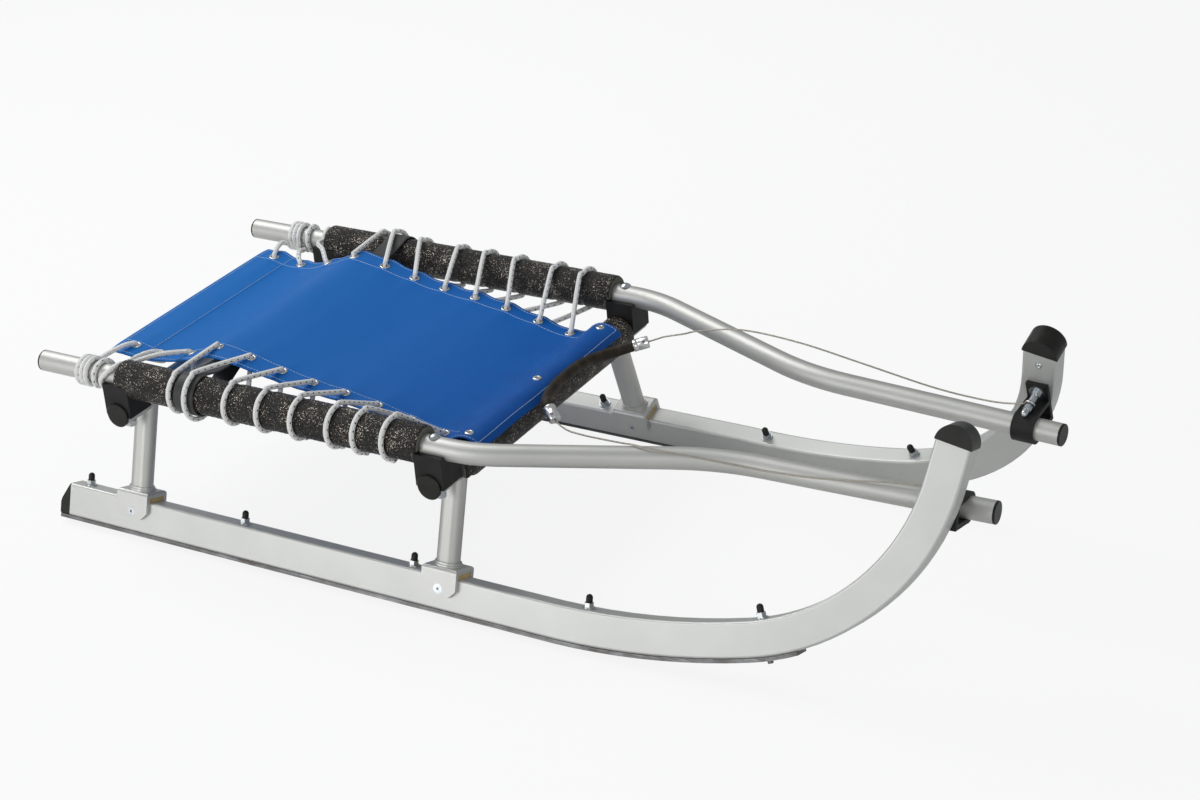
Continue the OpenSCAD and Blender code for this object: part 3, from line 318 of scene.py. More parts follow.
turned_metal, nodes, links, shader, place = finish_nodes("turned_aluminium", (0.80, 0.80, 0.79), 1.0, 0.28)
swirl = add_noise(nodes, links, place.outputs["Object"], 1400, 3, 0.6)
paint(nodes, links, shader, swirl, [(0.3, (0.70, 0.70, 0.69)), (0.7, (0.86, 0.86, 0.85))])
add_bump(nodes, links, shader, swirl, 0.25, 0.0002)
screw_black, nodes, links, shader, place = finish_nodes("set_screw_black", (0.012, 0.012, 0.014), 0.6, 0.4)
add_bump(nodes, links, shader, add_noise(nodes, links, place.outputs["Object"], 3000), 0.2, 0.0001)

ferrule_profile = np.array([
    [0, 0], [0, 6.2], [0.25, 6.9], [1.0, 7.25], [5.2, 7.25], [5.5, 6.95], [6.1, 6.95], [6.4, 7.25],
    [18.0, 7.25], [18.7, 6.95], [19.0, 6.3], [19.0, 2.2], [18.2, 1.2], [18.2, 0],
])
screw_profile = np.array([[0, 0], [0, 1.5], [0.75, 1.5], [0.9, 1.3], [0.9, 0.7], [0.3, 0.55], [0.3, 0]])
screw_from_end = 13.2
screw_sunk = 0.6
ferrule_parts, screw_parts = [], []
for route, towards in ((left_cable_route, left_ferrule_aim), (right_cable_route, right_ferrule_aim)):
    outer, inner = np.array(route[0], float), ferrule_point(route, towards, 0)
    line = (outer - inner) / ferrule_length
    ferrule_parts.append(turned(ferrule_profile * MM, inner * MM, outer * MM, 40))
    facing = np.array([0.35, -0.75, 0.55])
    screw_way = facing - facing @ line * line
    screw_way /= np.linalg.norm(screw_way)
    screw_foot = inner + screw_from_end * line + (ferrule_radius - screw_sunk) * screw_way
    screw_parts.append(turned(screw_profile * MM, screw_foot * MM, (screw_foot + screw_way) * MM, 18))
ferrules = stacked("rein_ferrule_pair", ferrule_parts, turned_metal)
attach(ferrules, "rein")
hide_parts("rein_ferrules")
set_screws = stacked("ferrule_set_screws", screw_parts, screw_black)
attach(set_screws, "rein")


# Satin anodised aluminium: the runners are closed rectangular tube bent up into horns, the rails and cross
# tubes round tube, the legs oval tube, and the shoes cast. Blasting before the anodising leaves a fine grain.
def anodised(name, colour, roughness, grain_depth):
    """Satin aluminium: grain of 0.5 mm in gloss and relief, and faint clouds of colour a hand wide."""
    material, nodes, links, shader, place = finish_nodes(name, colour, 0.7, roughness)
    here = place.outputs["Object"]
    clouds = add_noise(nodes, links, here, 9, 3, 0.55)
    tone = np.array(colour)
    darker, lighter = tuple(tone * 0.95), tuple(np.minimum(tone * 1.04, 1))
    paint(nodes, links, shader, clouds, [(0.3, darker), (0.7, lighter)])
    grain = add_noise(nodes, links, here, 1900, 3, 0.6)
    gloss = add_math(nodes, links, "ADD", add_math(nodes, links, "MULTIPLY", grain, 0.10), roughness - 0.05)
    links.new(gloss, shader.inputs["Roughness"])
    add_bump(nodes, links, shader, grain, 0.25, grain_depth)
    return material


def dress(material, *names):
    """Gives carried-over CAD nodes their material."""
    for name in names:
        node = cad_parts[name]
        if not node.material_slots:
            node.data.materials.append(material)
        for slot in node.material_slots:
            slot.material = material


runner_metal = anodised("runner_aluminium_finish", (0.62, 0.625, 0.60), 0.46, 0.00012)
tube_metal = anodised("tube_aluminium_finish", (0.57, 0.57, 0.54), 0.50, 0.0001)
cast_metal = anodised("cast_aluminium_finish", (0.60, 0.60, 0.575), 0.44, 0.00018)
dress(runner_metal, "runner_left", "runner_right")
dress(tube_metal, "rail_left", "rail_right", "crossbar_front", "crossbar_rear")
dress(tube_metal, "leg_front_left", "leg_front_right", "leg_rear_left", "leg_rear_right")
dress(cast_metal, "shoe_front_left", "shoe_front_right", "shoe_rear_left", "shoe_rear_right")


# The running strips are flat steel bars under the runners, held by the countersunk strip bolts.
# They are ground dull along their length and a little stained.
strip_steel, nodes, links, shader, place = finish_nodes("strip_steel_finish", (0.22, 0.22, 0.225), 0.9, 0.42)
drawn = nodes.new("ShaderNodeMapping")
drawn.inputs["Scale"].default_value = (12, 900, 900)
links.new(place.outputs["Object"], drawn.inputs["Vector"])
lines = add_noise(nodes, links, drawn.outputs["Vector"], 1.0, 3, 0.6)
stain = add_noise(nodes, links, place.outputs["Object"], 35, 4, 0.65)
paint(nodes, links, shader, add_math(nodes, links, "MULTIPLY", lines, stain), [
    (0.12, (0.10, 0.085, 0.075)), (0.28, (0.21, 0.21, 0.215)), (0.45, (0.33, 0.33, 0.34))
])
add_bump(nodes, links, shader, lines, 0.3, 0.0001)
dress(strip_steel, "running_strip_left", "running_strip_right")


# Bolts, nuts, washers, the rein's eyes and the shoes' countersunk screws are zinc plated steel.
# The passivated plating has a bluish shine with yellower patches.
zinc, nodes, links, shader, place = finish_nodes("zinc_plating", (0.56, 0.59, 0.62), 1.0, 0.30)
tint = add_noise(nodes, links, place.outputs["Object"], 160, 3, 0.6)
paint(nodes, links, shader, tint, [
    (0.30, (0.40, 0.47, 0.51)), (0.50, (0.56, 0.59, 0.62)), (0.72, (0.66, 0.64, 0.57))
])
add_bump(nodes, links, shader, add_noise(nodes, links, place.outputs["Object"], 1200, 3), 0.2, 0.0002)
dress(zinc, "strip_bolts_left", "strip_bolts_right", "shoe_screws", "saddle_bolts", "horn_bolts", "rein_eyes")


# Moulded black plastic caps close the horns, the runners' tails, the rails and the cross tubes, and cover
# the strip bolts. They are pushed in or on, and handling has left them unevenly glossy.
black_plastic, nodes, links, shader, place = finish_nodes(
    "black_cap_plastic", (0.010, 0.0095, 0.008), 0.0, 0.36)
shader.inputs["Specular IOR Level"].default_value = 0.3
scuffs = add_noise(nodes, links, place.outputs["Object"], 60, 5, 0.7)
gloss = add_math(nodes, links, "ADD", add_math(nodes, links, "MULTIPLY", scuffs, 0.35), 0.18)
links.new(gloss, shader.inputs["Roughness"])
paint(nodes, links, shader, scuffs, [(0.35, (0.007, 0.007, 0.006)), (0.75, (0.020, 0.019, 0.015))])
add_bump(nodes, links, shader, add_noise(nodes, links, place.outputs["Object"], 1500, 2), 0.25, 0.0001)
dress(black_plastic, "horn_cap_left", "horn_cap_right", "tail_cap_left", "tail_cap_right")
dress(black_plastic, "rail_caps", "crossbar_caps", "strip_bolt_caps")


# Black rubber saddles carry the rails on the cross tubes, each with a bolt through it.
# Clamps of the same rubber hold the rails' tips to the horns.
black_rubber, nodes, links, shader, place = finish_nodes(
    "black_saddle_rubber", (0.010, 0.010, 0.010), 0.0, 0.55)
shader.inputs["Specular IOR Level"].default_value = 0.3
bloom = add_noise(nodes, links, place.outputs["Object"], 45, 4, 0.6)
paint(nodes, links, shader, bloom, [(0.35, (0.007, 0.007, 0.007)), (0.75, (0.020, 0.019, 0.018))])
add_bump(nodes, links, shader, add_noise(nodes, links, place.outputs["Object"], 1100, 3), 0.3, 0.00015)
dress(black_rubber, "saddle_front_left", "saddle_front_right", "saddle_rear_left", "saddle_rear_right")
dress(black_rubber, "horn_clamp_left", "horn_clamp_right")


# Amber rubber pads lie between the shoes and the runners and give the frame its spring.
# They are moulded to fit inside the shoes and let a little light through.
amber_rubber, nodes, links, shader, place = finish_nodes("amber_pad_rubber", (0.55, 0.40, 0.15), 0.0, 0.42)
shader.inputs["Subsurface Weight"].default_value = 0.25
shader.inputs["Subsurface Radius"].default_value = (0.004, 0.002, 0.0008)
haze = add_noise(nodes, links, place.outputs["Object"], 120, 4, 0.6)
paint(nodes, links, shader, haze, [(0.3, (0.44, 0.30, 0.10)), (0.7, (0.62, 0.48, 0.22))])
add_bump(nodes, links, shader, add_noise(nodes, links, place.outputs["Object"], 900, 3), 0.25, 0.00015)
dress(amber_rubber, "shoe_pads")


# Split sleeves of closed-cell foam cover both rails and the front cross tube. Their skin is black, crinkled
# and shiny, with painted glints in pale flecks, and the lacing bites a shallow groove into it at every turn.
rail_y, rail_z, foam_radius, rail_radius = 210.0, 204.09, 22.5, 12.5
front_x, rear_x, tube_z, tube_radius = -23.0, -461.0, 164.09, 15.0
foam_rear, foam_front = -460.0, -36.0
eyelet_y = 138.0
# Each eyelet's place along the sled, its height, and where its rope turn lies on the left and right foam.
eyelets = np.array([
    [-500.5, 204.59, 0, 0], [-458.5, 199.99, 0, 0], [-415.5, 209.59, 0, 0],
    [-372.5, 225.99, -381, -375], [-326.5, 220.49, -360, -349], [-283, 211.49, -318, -296],
    [-239.5, 204.49, -261, -250], [-195.5, 199.99, -220, -203], [-151, 193.49, -175, -153],
    [-106, 183.99, -119, -118], [-62, 175.49, -78, -79],
])
strap_x, strap_width, strap_thick = -354.0, 28.0, 2.0
rope_radius = 3.0


def over_strap(x):
    """Whether a rope turn at x lies over the support strap."""
    return abs(x - strap_x) < strap_width / 2 + rope_radius


def crinkle(a, b, seed):
    """Sum of 14 plane waves of random direction and phase, 4 to 14 mm long, folded by absolute value."""
    count, shortest, longest = 14, 4, 14
    chance = np.random.default_rng(seed)
    lengths = chance.uniform(shortest, longest, count)
    turns = chance.uniform(0, np.pi, count)
    phases = chance.uniform(0, 6.28, count)
    total = np.zeros(np.broadcast(a, b).shape)
    for length, turn, phase in zip(lengths, turns, phases):
        wave = np.sin(2 * np.pi * (a * np.cos(turn) + b * np.sin(turn)) / length + phase)
        total += (1 - np.abs(wave)) * length / longest
    return total / (count / 2) - 0.55


def foam_sleeve(name, centre, radius, hollow, low, high, axis, seed, press, keep_clear):
    """Sleeve round a tube: radius + creases - grooves at the rope turns, as a function of (length, angle),
    with rounded ends and an inner wall on the tube; keep_clear(length, angle) is the most that it may be."""
    ring_step, ring_sides = 1.25, 96
    crease_height = 0.8
    groove_depth, groove_run = 1.15, 3.6
    end_depth, end_run = 2.0, 3.0
    length = np.linspace(low, high, int((high - low) / ring_step) + 1)
    angle = np.linspace(0, 2 * np.pi, ring_sides, endpoint=False)
    s, a = np.meshgrid(length, angle, indexing="ij")
    skin = radius - crease_height / 2 + crease_height * crinkle(s, a * radius, seed)
    for place_along in press:
        skin -= groove_depth * np.exp(-(((s - place_along) / groove_run) ** 2))
    edge = np.minimum(s - low, high - s)
    skin -= end_depth * np.clip(1 - edge / end_run, 0, 1) ** 2
    skin = np.minimum(skin, keep_clear(s, a))
    inner = np.full((1, len(angle)), hollow + 0.05)
    skin = np.vstack([inner, skin, inner])
    s = np.vstack([s[:1], s, s[-1:]])
    a = np.vstack([a[:1], a, a[-1:]])
    across, rise = skin * np.sin(a), skin * np.cos(a)
    if axis == "x":
        corners = np.stack([s, centre[1] + across, centre[2] + rise], -1)
    else:
        corners = np.stack([centre[0] + across, s, centre[2] + rise], -1)
    rows = len(s)
    faces = grid_faces(rows, len(angle))
    bore = grid_faces(2, len(angle))
    bore = np.where(bore < len(angle), bore, bore + (rows - 2) * len(angle))
    sleeve = stacked(name, [(corners.reshape(-1, 3) * MM, np.vstack([faces, bore]))], foam_skin)
    sleeve.data.materials.append(foam_cut)
    normals = np.empty(3 * len(sleeve.data.polygons), np.float32)
    sleeve.data.polygons.foreach_get("normal", normals)
    end_faces = abs(normals.reshape(-1, 3)[:, "xy".index(axis)]) > 0.8
    sleeve.data.polygons.foreach_set("material_index", end_faces.astype(np.int32))
    sleeve.data.update()
    return sleeve


foam_skin, nodes, links, shader, place = finish_nodes("crinkled_foam_skin", (0.010, 0.009, 0.008), 0.0, 0.3)
shader.inputs["Specular IOR Level"].default_value = 0.35
here = place.outputs["Object"]
cells = nodes.new("ShaderNodeTexVoronoi")
cells.inputs["Scale"].default_value = 520
links.new(here, cells.inputs["Vector"])
fine = add_noise(nodes, links, here, 700, 4, 0.7)
painted_glint_noise = add_noise(nodes, links, here, 560, 2, 0.75)
patches = add_noise(nodes, links, here, 42, 2, 0.5)
painted_glints = add_math(nodes, links, "ADD", painted_glint_noise, add_math(nodes, links, "MULTIPLY", patches, 0.35))
# The pale and tan flecks in the skin's colour are painted glints; they are also made metallic, so that they
# reflect as well.
paint(nodes, links, shader, painted_glints, [
    (0.0, (0.004, 0.004, 0.003)), (0.74, (0.008, 0.007, 0.006)),
    (0.79, (0.11, 0.075, 0.05)), (0.84, (0.74, 0.69, 0.61)),
])
links.new(add_ramp(nodes, links, painted_glints, [(0.76, (0.0, 0.0, 0.0)), (0.82, (1.0, 1.0, 1.0))]),
          shader.inputs["Metallic"])
links.new(add_ramp(nodes, links, fine, [(0.35, (0.12, 0.12, 0.12)), (0.62, (0.38, 0.38, 0.38))]),
          shader.inputs["Roughness"])
fine_relief = add_math(nodes, links, "MULTIPLY", fine, 1.2)
relief = add_math(nodes, links, "ADD", cells.outputs["Distance"], fine_relief)
add_bump(nodes, links, shader, relief, 0.9, 0.0012)
foam_cut, nodes, links, shader, place = finish_nodes("cut_foam_face", (0.12, 0.12, 0.095), 0.0, 0.85)
pores = add_noise(nodes, links, place.outputs["Object"], 900, 3, 0.6)
paint(nodes, links, shader, pores, [(0.35, (0.06, 0.06, 0.047)), (0.7, (0.19, 0.185, 0.15))])
add_bump(nodes, links, shader, pores, 0.5, 0.0004)

saddle_half_length, saddle_half_width = 18.0, 19.0


def beside_saddles(s, a):
    """Far out everywhere, but down on the rail under the sleeve where a saddle stands."""
    near = np.minimum(abs(s - front_x), abs(s - rear_x)) < saddle_half_length + 0.5
    return np.where(near & (np.cos(a) < -0.05), rail_radius + 0.4, 99.0)


for sign, side_name, column in ((1, "left", 2), (-1, "right", 3)):
    turns = [x for x in eyelets[3:, column] if not over_strap(x)]
    sleeve = foam_sleeve("foam_sleeve_" + side_name, (0, sign * rail_y, rail_z), foam_radius, rail_radius,
                         foam_rear, foam_front, "x", 11 + sign, turns, beside_saddles)
    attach(sleeve, "root")
    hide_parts("rail_pad_" + side_name)


def beside_legs(s, a):
    """Far out everywhere, but down on the cross tube below, where the leaning legs meet it."""
    near = (abs(s) > 157) & (np.cos(a) < -0.35)
    return np.where(near, tube_radius + 0.4, 99.0)


cross_half = (2 * rail_y - 2 * saddle_half_width - 8) / 2
cross_sleeve = foam_sleeve("foam_sleeve_front", (front_x, 0, tube_z), foam_radius, tube_radius,
                           -cross_half, cross_half, "y", 31, [], beside_legs)
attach(cross_sleeve, "root")
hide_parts("cross_pad")


# The seat is one panel of coated royal blue cloth with turned hems, drawn tight by its lacing over the strap
# at the rear and the foam at the front. Each eyelet pulls the hem out and raises a small pucker.
cloth_half = 0.75
panel_radius = foam_radius + 0.4 + cloth_half


def over_front_foam(radius, degrees):
    """Points (x, z) over the front foam at angles from its top, towards the front."""
    turn = np.radians(degrees)
    return np.stack([front_x + radius * np.sin(turn), tube_z + radius * np.cos(turn)], -1)


bend_angles = np.array([-46, -34, -23, -11, 0, 11, 23, 33, 42])
panel_profile = smooth_route(np.vstack([
    [[-524, 205.8]], eyelets[:, :2], over_front_foam(panel_radius, bend_angles),
]), 12)
half_width = np.array([
    [-524, 158], [-500, 161], [-478, 158], [-450, 153], [-420, 155], [-372, 162], [-326, 160], [-240, 157],
    [-150, 155], [-62, 153], [-6, 152],
])


def panel_half_width(x):
    """Half width of the panel at x, in mm: a smooth taper, drawn in by 2 mm between the eyelets."""
    steps = np.interp(x, eyelets[:, 0], np.arange(11.0), left=0, right=10)
    scallop = 2.0 * np.sin(np.pi * steps) ** 2 * (x > eyelets[0, 0]) * (x < eyelets[-1, 0])
    return np.interp(x, half_width[:, 0], half_width[:, 1]) - scallop


def panel_height(x, y):
    """Height of the cloth's top in mm at (x, y): the laced profile along x, less a shallow sag across,
    plus a pucker that runs inward from every eyelet and a ripple where the cloth leaves the strap."""
    base = np.interp(x, panel_profile[:, 0], panel_profile[:, 1]) + cloth_half
    share = np.clip(abs(y) / 138, 0, 1.15)
    hollow = 3.2 * np.exp(-(((x + 190) / 80) ** 2)) + 1.2 * np.exp(-(((x + 450) / 30) ** 2))
    sag = (1 - share**2) * hollow
    inward = np.clip(eyelet_y + 6 - abs(y), 0, None)
    beside = x[..., None] - eyelets[:, 0]
    strength = np.exp(-((beside / 7.5) ** 2)) * np.exp(-inward[..., None] / 26)
    valley = np.exp(-(((abs(beside) - 17) / 9) ** 2)) * np.exp(-inward[..., None] / 30)
    pucker = 1.1 * strength.sum(-1) - 0.55 * valley.sum(-1)
    fold = 0.5 * np.sin(y / 19 + 1.3) * np.exp(-(((x + 395) / 26) ** 2))
    fold += 0.35 * np.sin(y / 13 + x / 40) * np.exp(-(((x + 80) / 30) ** 2))
    out = np.clip(abs(y) - eyelet_y, 0, None)
    curl = -0.004 * out**2
    return base - sag + pucker + fold + curl


hem_inside = 128.2
rear_hem = -479.2


def hem_step(x, y):
    """Rise of the doubled cloth of the hems: a soft step of 0.7 mm over 1.5 mm."""
    side = np.clip((abs(y) - hem_inside) / 1.5, 0, 1)
    back = np.clip((rear_hem - x) / 1.5, 0, 1)
    step = np.maximum(side, back)
    return 0.7 * step * step * (3 - 2 * step)


def add_ripple(nodes, links, value, pitch):
    """Sine of a coordinate, with one cycle in every pitch, in metres."""
    turned_by = add_math(nodes, links, "MULTIPLY", value, 2 * np.pi / pitch)
    return add_math(nodes, links, "SINE", turned_by, 0.0)


def thicken(piece, thickness):
    """Gives a sheet its thickness in mm, from its top face down."""
    wall = piece.modifiers.new("cloth thickness", "SOLIDIFY")
    wall.thickness = thickness * MM
    wall.offset = -1


blue_cloth, nodes, links, shader, place = finish_nodes("royal_blue_cloth", (0.004, 0.13, 0.46), 0.0, 0.45)
shader.inputs["Sheen Weight"].default_value = 0.02
shader.inputs["Sheen Roughness"].default_value = 0.4
shader.inputs["Sheen Tint"].default_value = (0.45, 0.7, 1.0, 1)
shader.inputs["Specular IOR Level"].default_value = 0.15
here = place.outputs["Object"]
shift = nodes.new("ShaderNodeSeparateXYZ")
links.new(here, shift.inputs[0])
# The cloth's colour is painted darker towards the front of the seat: painted shade, with the mottle's uneven
# tone laid over it.
painted_front_shade = add_math(nodes, links, "MULTIPLY", shift.outputs["X"], -1.7)
mottle = add_noise(nodes, links, here, 28, 3, 0.5)
painted_shade_and_mottle = add_math(nodes, links, "ADD", painted_front_shade, add_math(nodes, links, "MULTIPLY", mottle, 0.18))
paint(nodes, links, shader, painted_shade_and_mottle, [
    (0.03, (0.0030, 0.062, 0.30)), (0.22, (0.0038, 0.115, 0.45)), (0.95, (0.0045, 0.155, 0.52))
])
thread_pitch = 0.0011
warp = add_ripple(nodes, links, shift.outputs["X"], thread_pitch)
weft = add_ripple(nodes, links, shift.outputs["Y"], thread_pitch)
weave = add_math(nodes, links, "MULTIPLY", warp, weft)
soft = add_math(nodes, links, "MULTIPLY", add_noise(nodes, links, here, 140, 3, 0.6), 1.6)
add_bump(nodes, links, shader, add_math(nodes, links, "ADD", weave, soft), 0.28, 0.00022)

panel_rear, panel_front = -524, -7
rows = np.linspace(panel_rear, panel_front, 236)
columns = np.linspace(-1, 1, 133)
x, share = np.meshgrid(rows, columns, indexing="ij")
y = share * panel_half_width(x)
z = panel_height(x, y) + hem_step(x, y)
panel_faces = grid_faces(len(rows), len(columns), ring=False)
middle_x = x.ravel()[panel_faces].mean(1)
middle_y = y.ravel()[panel_faces].mean(1)
from_eyelet = np.hypot(middle_x[:, None] - eyelets[:, 0], abs(middle_y)[:, None] - eyelet_y).min(1)
eyelet_hole = 3.9
panel = mesh_piece("seat_panel", np.stack([x, y, z], -1) * MM, panel_faces[from_eyelet > eyelet_hole])
panel.data.materials.append(blue_cloth)
thicken(panel, 1.4)
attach(panel, "root")
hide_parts("seat_fabric")


# A doubled band of the same cloth covers the panel's front edge and bends down over the front foam.
# Three hollow rivets hold it to the panel, and each pulls a small dimple into it.
rivet_places = (-145, 0, 145)
flap_radius = panel_radius + cloth_half + 2.0
flap_profile = smooth_route(over_front_foam(flap_radius, np.array([-57, -38, -19, 0, 19, 38, 58])), 10)


def flap_height(x, y):
    """Height of the flap in mm: its profile over the foam, pulled down a little round each rivet."""
    base = np.interp(x, flap_profile[:, 0], flap_profile[:, 1])
    dimple = sum(np.exp(-(((x - front_x) ** 2 + (y - at) ** 2) / 130)) for at in rivet_places)
    ripple = 0.4 * np.sin(y / 21 + 0.7) * np.exp(-(((x + 42) / 6) ** 2))
    ripple += 0.5 * np.sin(y / 17) * np.exp(-(((x + 3) / 5) ** 2))
    return base - 0.5 * dimple + ripple


flap_rows = np.linspace(flap_profile[0, 0], flap_profile[-1, 0], 40)
flap_half_width = 157.5
flap_columns = np.linspace(-flap_half_width, flap_half_width, 150)
x, y = np.meshgrid(flap_rows, flap_columns, indexing="ij")
flap = mesh_piece("seat_flap", np.stack([x, y, flap_height(x, y)], -1) * MM,
                  grid_faces(len(flap_rows), len(flap_columns), ring=False))
flap.data.materials.append(blue_cloth)
thicken(flap, 1.9)
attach(flap, "root")


# Pale thread sews the side hems and the rear hem in two rows, and the flap along its front edge and both
# ends. Each stitch is 3.3 mm of thread between two needle holes 4 mm apart.
def stitches(path, height):
    """Row of stitches on a surface: every 4 mm along the path one spindle, 3.3 mm long, with 4 rings of 6."""
    stitch_pitch, stitch_length = 4.0, 3.3
    path = np.asarray(path, float)
    gone = np.r_[0, np.cumsum(np.linalg.norm(np.diff(path, axis=0), axis=1))]
    at = np.arange(2, gone[-1], stitch_pitch)
    centre = np.stack([np.interp(at, gone, path[:, k]) for k in (0, 1)], -1)
    ahead_point = np.stack([np.interp(np.minimum(at + 0.5, gone[-1]), gone, path[:, k]) for k in (0, 1)], -1)
    behind = np.stack([np.interp(np.maximum(at - 0.5, 0), gone, path[:, k]) for k in (0, 1)], -1)
    line = np.column_stack([ahead_point - behind, height(*ahead_point.T) - height(*behind.T)])
    line /= np.linalg.norm(line, axis=1, keepdims=True)
    side = np.cross(line, [0, 0, 1])
    side /= np.linalg.norm(side, axis=1, keepdims=True)
    lift = np.cross(side, line)
    centre = np.column_stack([centre, height(*centre.T) + 0.12])
    run = np.array([-0.5, -0.32, 0.32, 0.5]) * stitch_length
    thick = np.array([0.10, 0.34, 0.34, 0.10])
    angle = np.linspace(0, 2 * np.pi, 6, endpoint=False)
    body = (centre[:, None, None] + run[None, :, None, None] * line[:, None, None]
            + thick[None, :, None, None] * (side[:, None, None] * np.cos(angle)[None, None, :, None]
                                            + lift[:, None, None] * np.sin(angle)[None, None, :, None]))
    faces = grid_faces(4, 6)[None] + 24 * np.arange(len(at))[:, None, None]
    return body.reshape(-1, 3) * MM, faces.reshape(-1, 4)


def panel_top(x, y):
    """Top of the hemmed panel."""
    return panel_height(x, y) + hem_step(x, y)


thread, nodes, links, shader, place = finish_nodes("pale_blue_thread", (0.36, 0.52, 0.74), 0.0, 0.6)
twist = add_noise(nodes, links, place.outputs["Object"], 2500, 2)
paint(nodes, links, shader, twist, [(0.3, (0.34, 0.50, 0.72)), (0.7, (0.60, 0.72, 0.86))])
add_bump(nodes, links, shader, twist, 0.4, 0.0002)
sewing = []
seam_end, flap_seam_x, flap_seam_y = 156, -6.5, 154
run_x = np.linspace(-522, -46, 300)
for sign in (1, -1):
    sewing.append(stitches(np.stack([run_x, np.full(300, sign * (hem_inside + 1.8))], -1), panel_top))
    sewing.append(stitches(np.stack([run_x, sign * (panel_half_width(run_x) - 4)], -1), panel_top))
for place_x in (rear_hem - 1.8, -520.0):
    sewing.append(stitches([[place_x, -seam_end], [place_x, seam_end]], panel_top))
sewing.append(stitches([[flap_seam_x, -flap_seam_y], [flap_seam_x, flap_seam_y]], flap_height))
for place_y in (-flap_seam_y, flap_seam_y):
    sewing.append(stitches([[-42, place_y], [flap_seam_x, place_y]], flap_height))
seams = stacked("seat_stitching", sewing, thread, closed=False)
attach(seams, "root")


# Twenty-two nickel-plated eyelets are rolled into the side hems, and three hollow rivets hold the flap.
# Both are pressed from thin sheet, and wear has dulled their plating here and there.
nickel, nodes, links, shader, place = finish_nodes("nickel_plating", (0.74, 0.73, 0.70), 1.0, 0.26)
wear = add_noise(nodes, links, place.outputs["Object"], 700, 3, 0.6)
paint(nodes, links, shader, wear, [(0.3, (0.58, 0.57, 0.54)), (0.7, (0.84, 0.83, 0.80))])
add_bump(nodes, links, shader, wear, 0.2, 0.0002)
rolled = np.array([
    [-2.6, 5.9], [-2.3, 6.2], [0.1, 6.45], [0.7, 6.4], [1.05, 5.8], [1.2, 5.1], [1.1, 4.4], [0.8, 4.0],
    [0.1, 3.8], [-1.8, 3.8], [-2.7, 4.1], [-2.9, 4.8], [-2.8, 5.5], [-2.6, 5.9],
])
rim_reach = 5
ring_parts = []
for sign in (1, -1):
    for eyelet_x in eyelets[:, 0]:
        here = np.array([[eyelet_x - rim_reach], [eyelet_x + rim_reach]])
        low, high = panel_top(here, np.full((2, 1), sign * eyelet_y)).ravel()
        centre = np.array([eyelet_x, sign * eyelet_y, (low + high) / 2])
        normal = np.array([low - high, 0, 2 * rim_reach]) / np.hypot(high - low, 2 * rim_reach)
        ring_parts.append(turned(rolled * MM, centre * MM, (centre + normal) * MM, 28))
rings = stacked("seat_eyelet_rings", ring_parts, nickel)
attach(rings, "root")
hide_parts("seat_eyelets")

rivet_profile = np.array([
    [-1.2, 2.0], [-1.2, 5.4], [0.0, 5.6], [0.7, 5.3], [1.3, 4.3], [1.45, 3.2], [1.1, 2.5], [0.1, 2.2],
    [-0.6, 1.6], [-0.7, 0],
])
rivet_parts = []
for rivet_y in rivet_places:
    top = float(flap_height(np.array([front_x]), np.array([rivet_y]))[0])
    centre = np.array([front_x, rivet_y, top])
    rivet_parts.append(turned(rivet_profile * MM, centre * MM, (centre + [0, 0, 1]) * MM, 32))
rivets = stacked("flap_rivet_heads", rivet_parts, nickel)
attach(rivets, "root")
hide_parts("flap_rivets")


# A smooth black strap, 28 mm wide, crosses under the cloth from foam to foam and props up the seat's rear.
# Each end is wrapped round the foam and sewn back under the band.
strap_radius, strap_top = foam_radius + 0.4 + strap_thick / 2, rail_z + 16.2
wrap = np.radians(np.arange(-113, 97, 11))
strap_half = np.vstack([
    [[112, strap_top - 2.4], [128, strap_top - 3.8]],
    np.stack([rail_y + strap_radius * np.cos(wrap), rail_z + strap_radius * np.sin(wrap)], -1),
    [[164, strap_top], [60, strap_top]],
])
strap_line = smooth_route(np.vstack([strap_half, strap_half[::-1] * [-1, 1]]), 5)
slope = np.gradient(strap_line, axis=0)
slope /= np.linalg.norm(slope, axis=1, keepdims=True)
outward = np.stack([-slope[:, 1], slope[:, 0]], -1)
turn = np.linspace(0, 2 * np.pi, 28, endpoint=False)
half = strap_width / 2
across = half * np.sign(np.cos(turn)) * abs(np.cos(turn)) ** 0.12
thick = strap_thick / 2 * np.sin(turn)
ring_x = strap_x + np.broadcast_to(across, (len(strap_line), 28))
ring_yz = strap_line[:, None] + thick[None, :, None] * outward[:, None]
corners = np.stack([ring_x, ring_yz[..., 0], ring_yz[..., 1]], -1)
strap_satin, nodes, links, shader, place = finish_nodes("black_strap_cloth", (0.016, 0.016, 0.017), 0.0, 0.5)
shader.inputs["Sheen Weight"].default_value = 0.15
ribs = nodes.new("ShaderNodeSeparateXYZ")
links.new(place.outputs["Object"], ribs.inputs[0])
rib_pitch = 0.0014
cord_lines = add_ripple(nodes, links, ribs.outputs["X"], rib_pitch)
fuzz = add_noise(nodes, links, place.outputs["Object"], 600, 3)
paint(nodes, links, shader, fuzz, [(0.3, (0.011, 0.011, 0.012)), (0.75, (0.030, 0.029, 0.029))])
add_bump(nodes, links, shader, add_math(nodes, links, "ADD", cord_lines, fuzz), 0.3, 0.0002)
strap = stacked("strap_band", [(corners.reshape(-1, 3) * MM, grid_faces(len(strap_line), 28))], strap_satin)
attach(strap, "root")
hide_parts("support_strap")


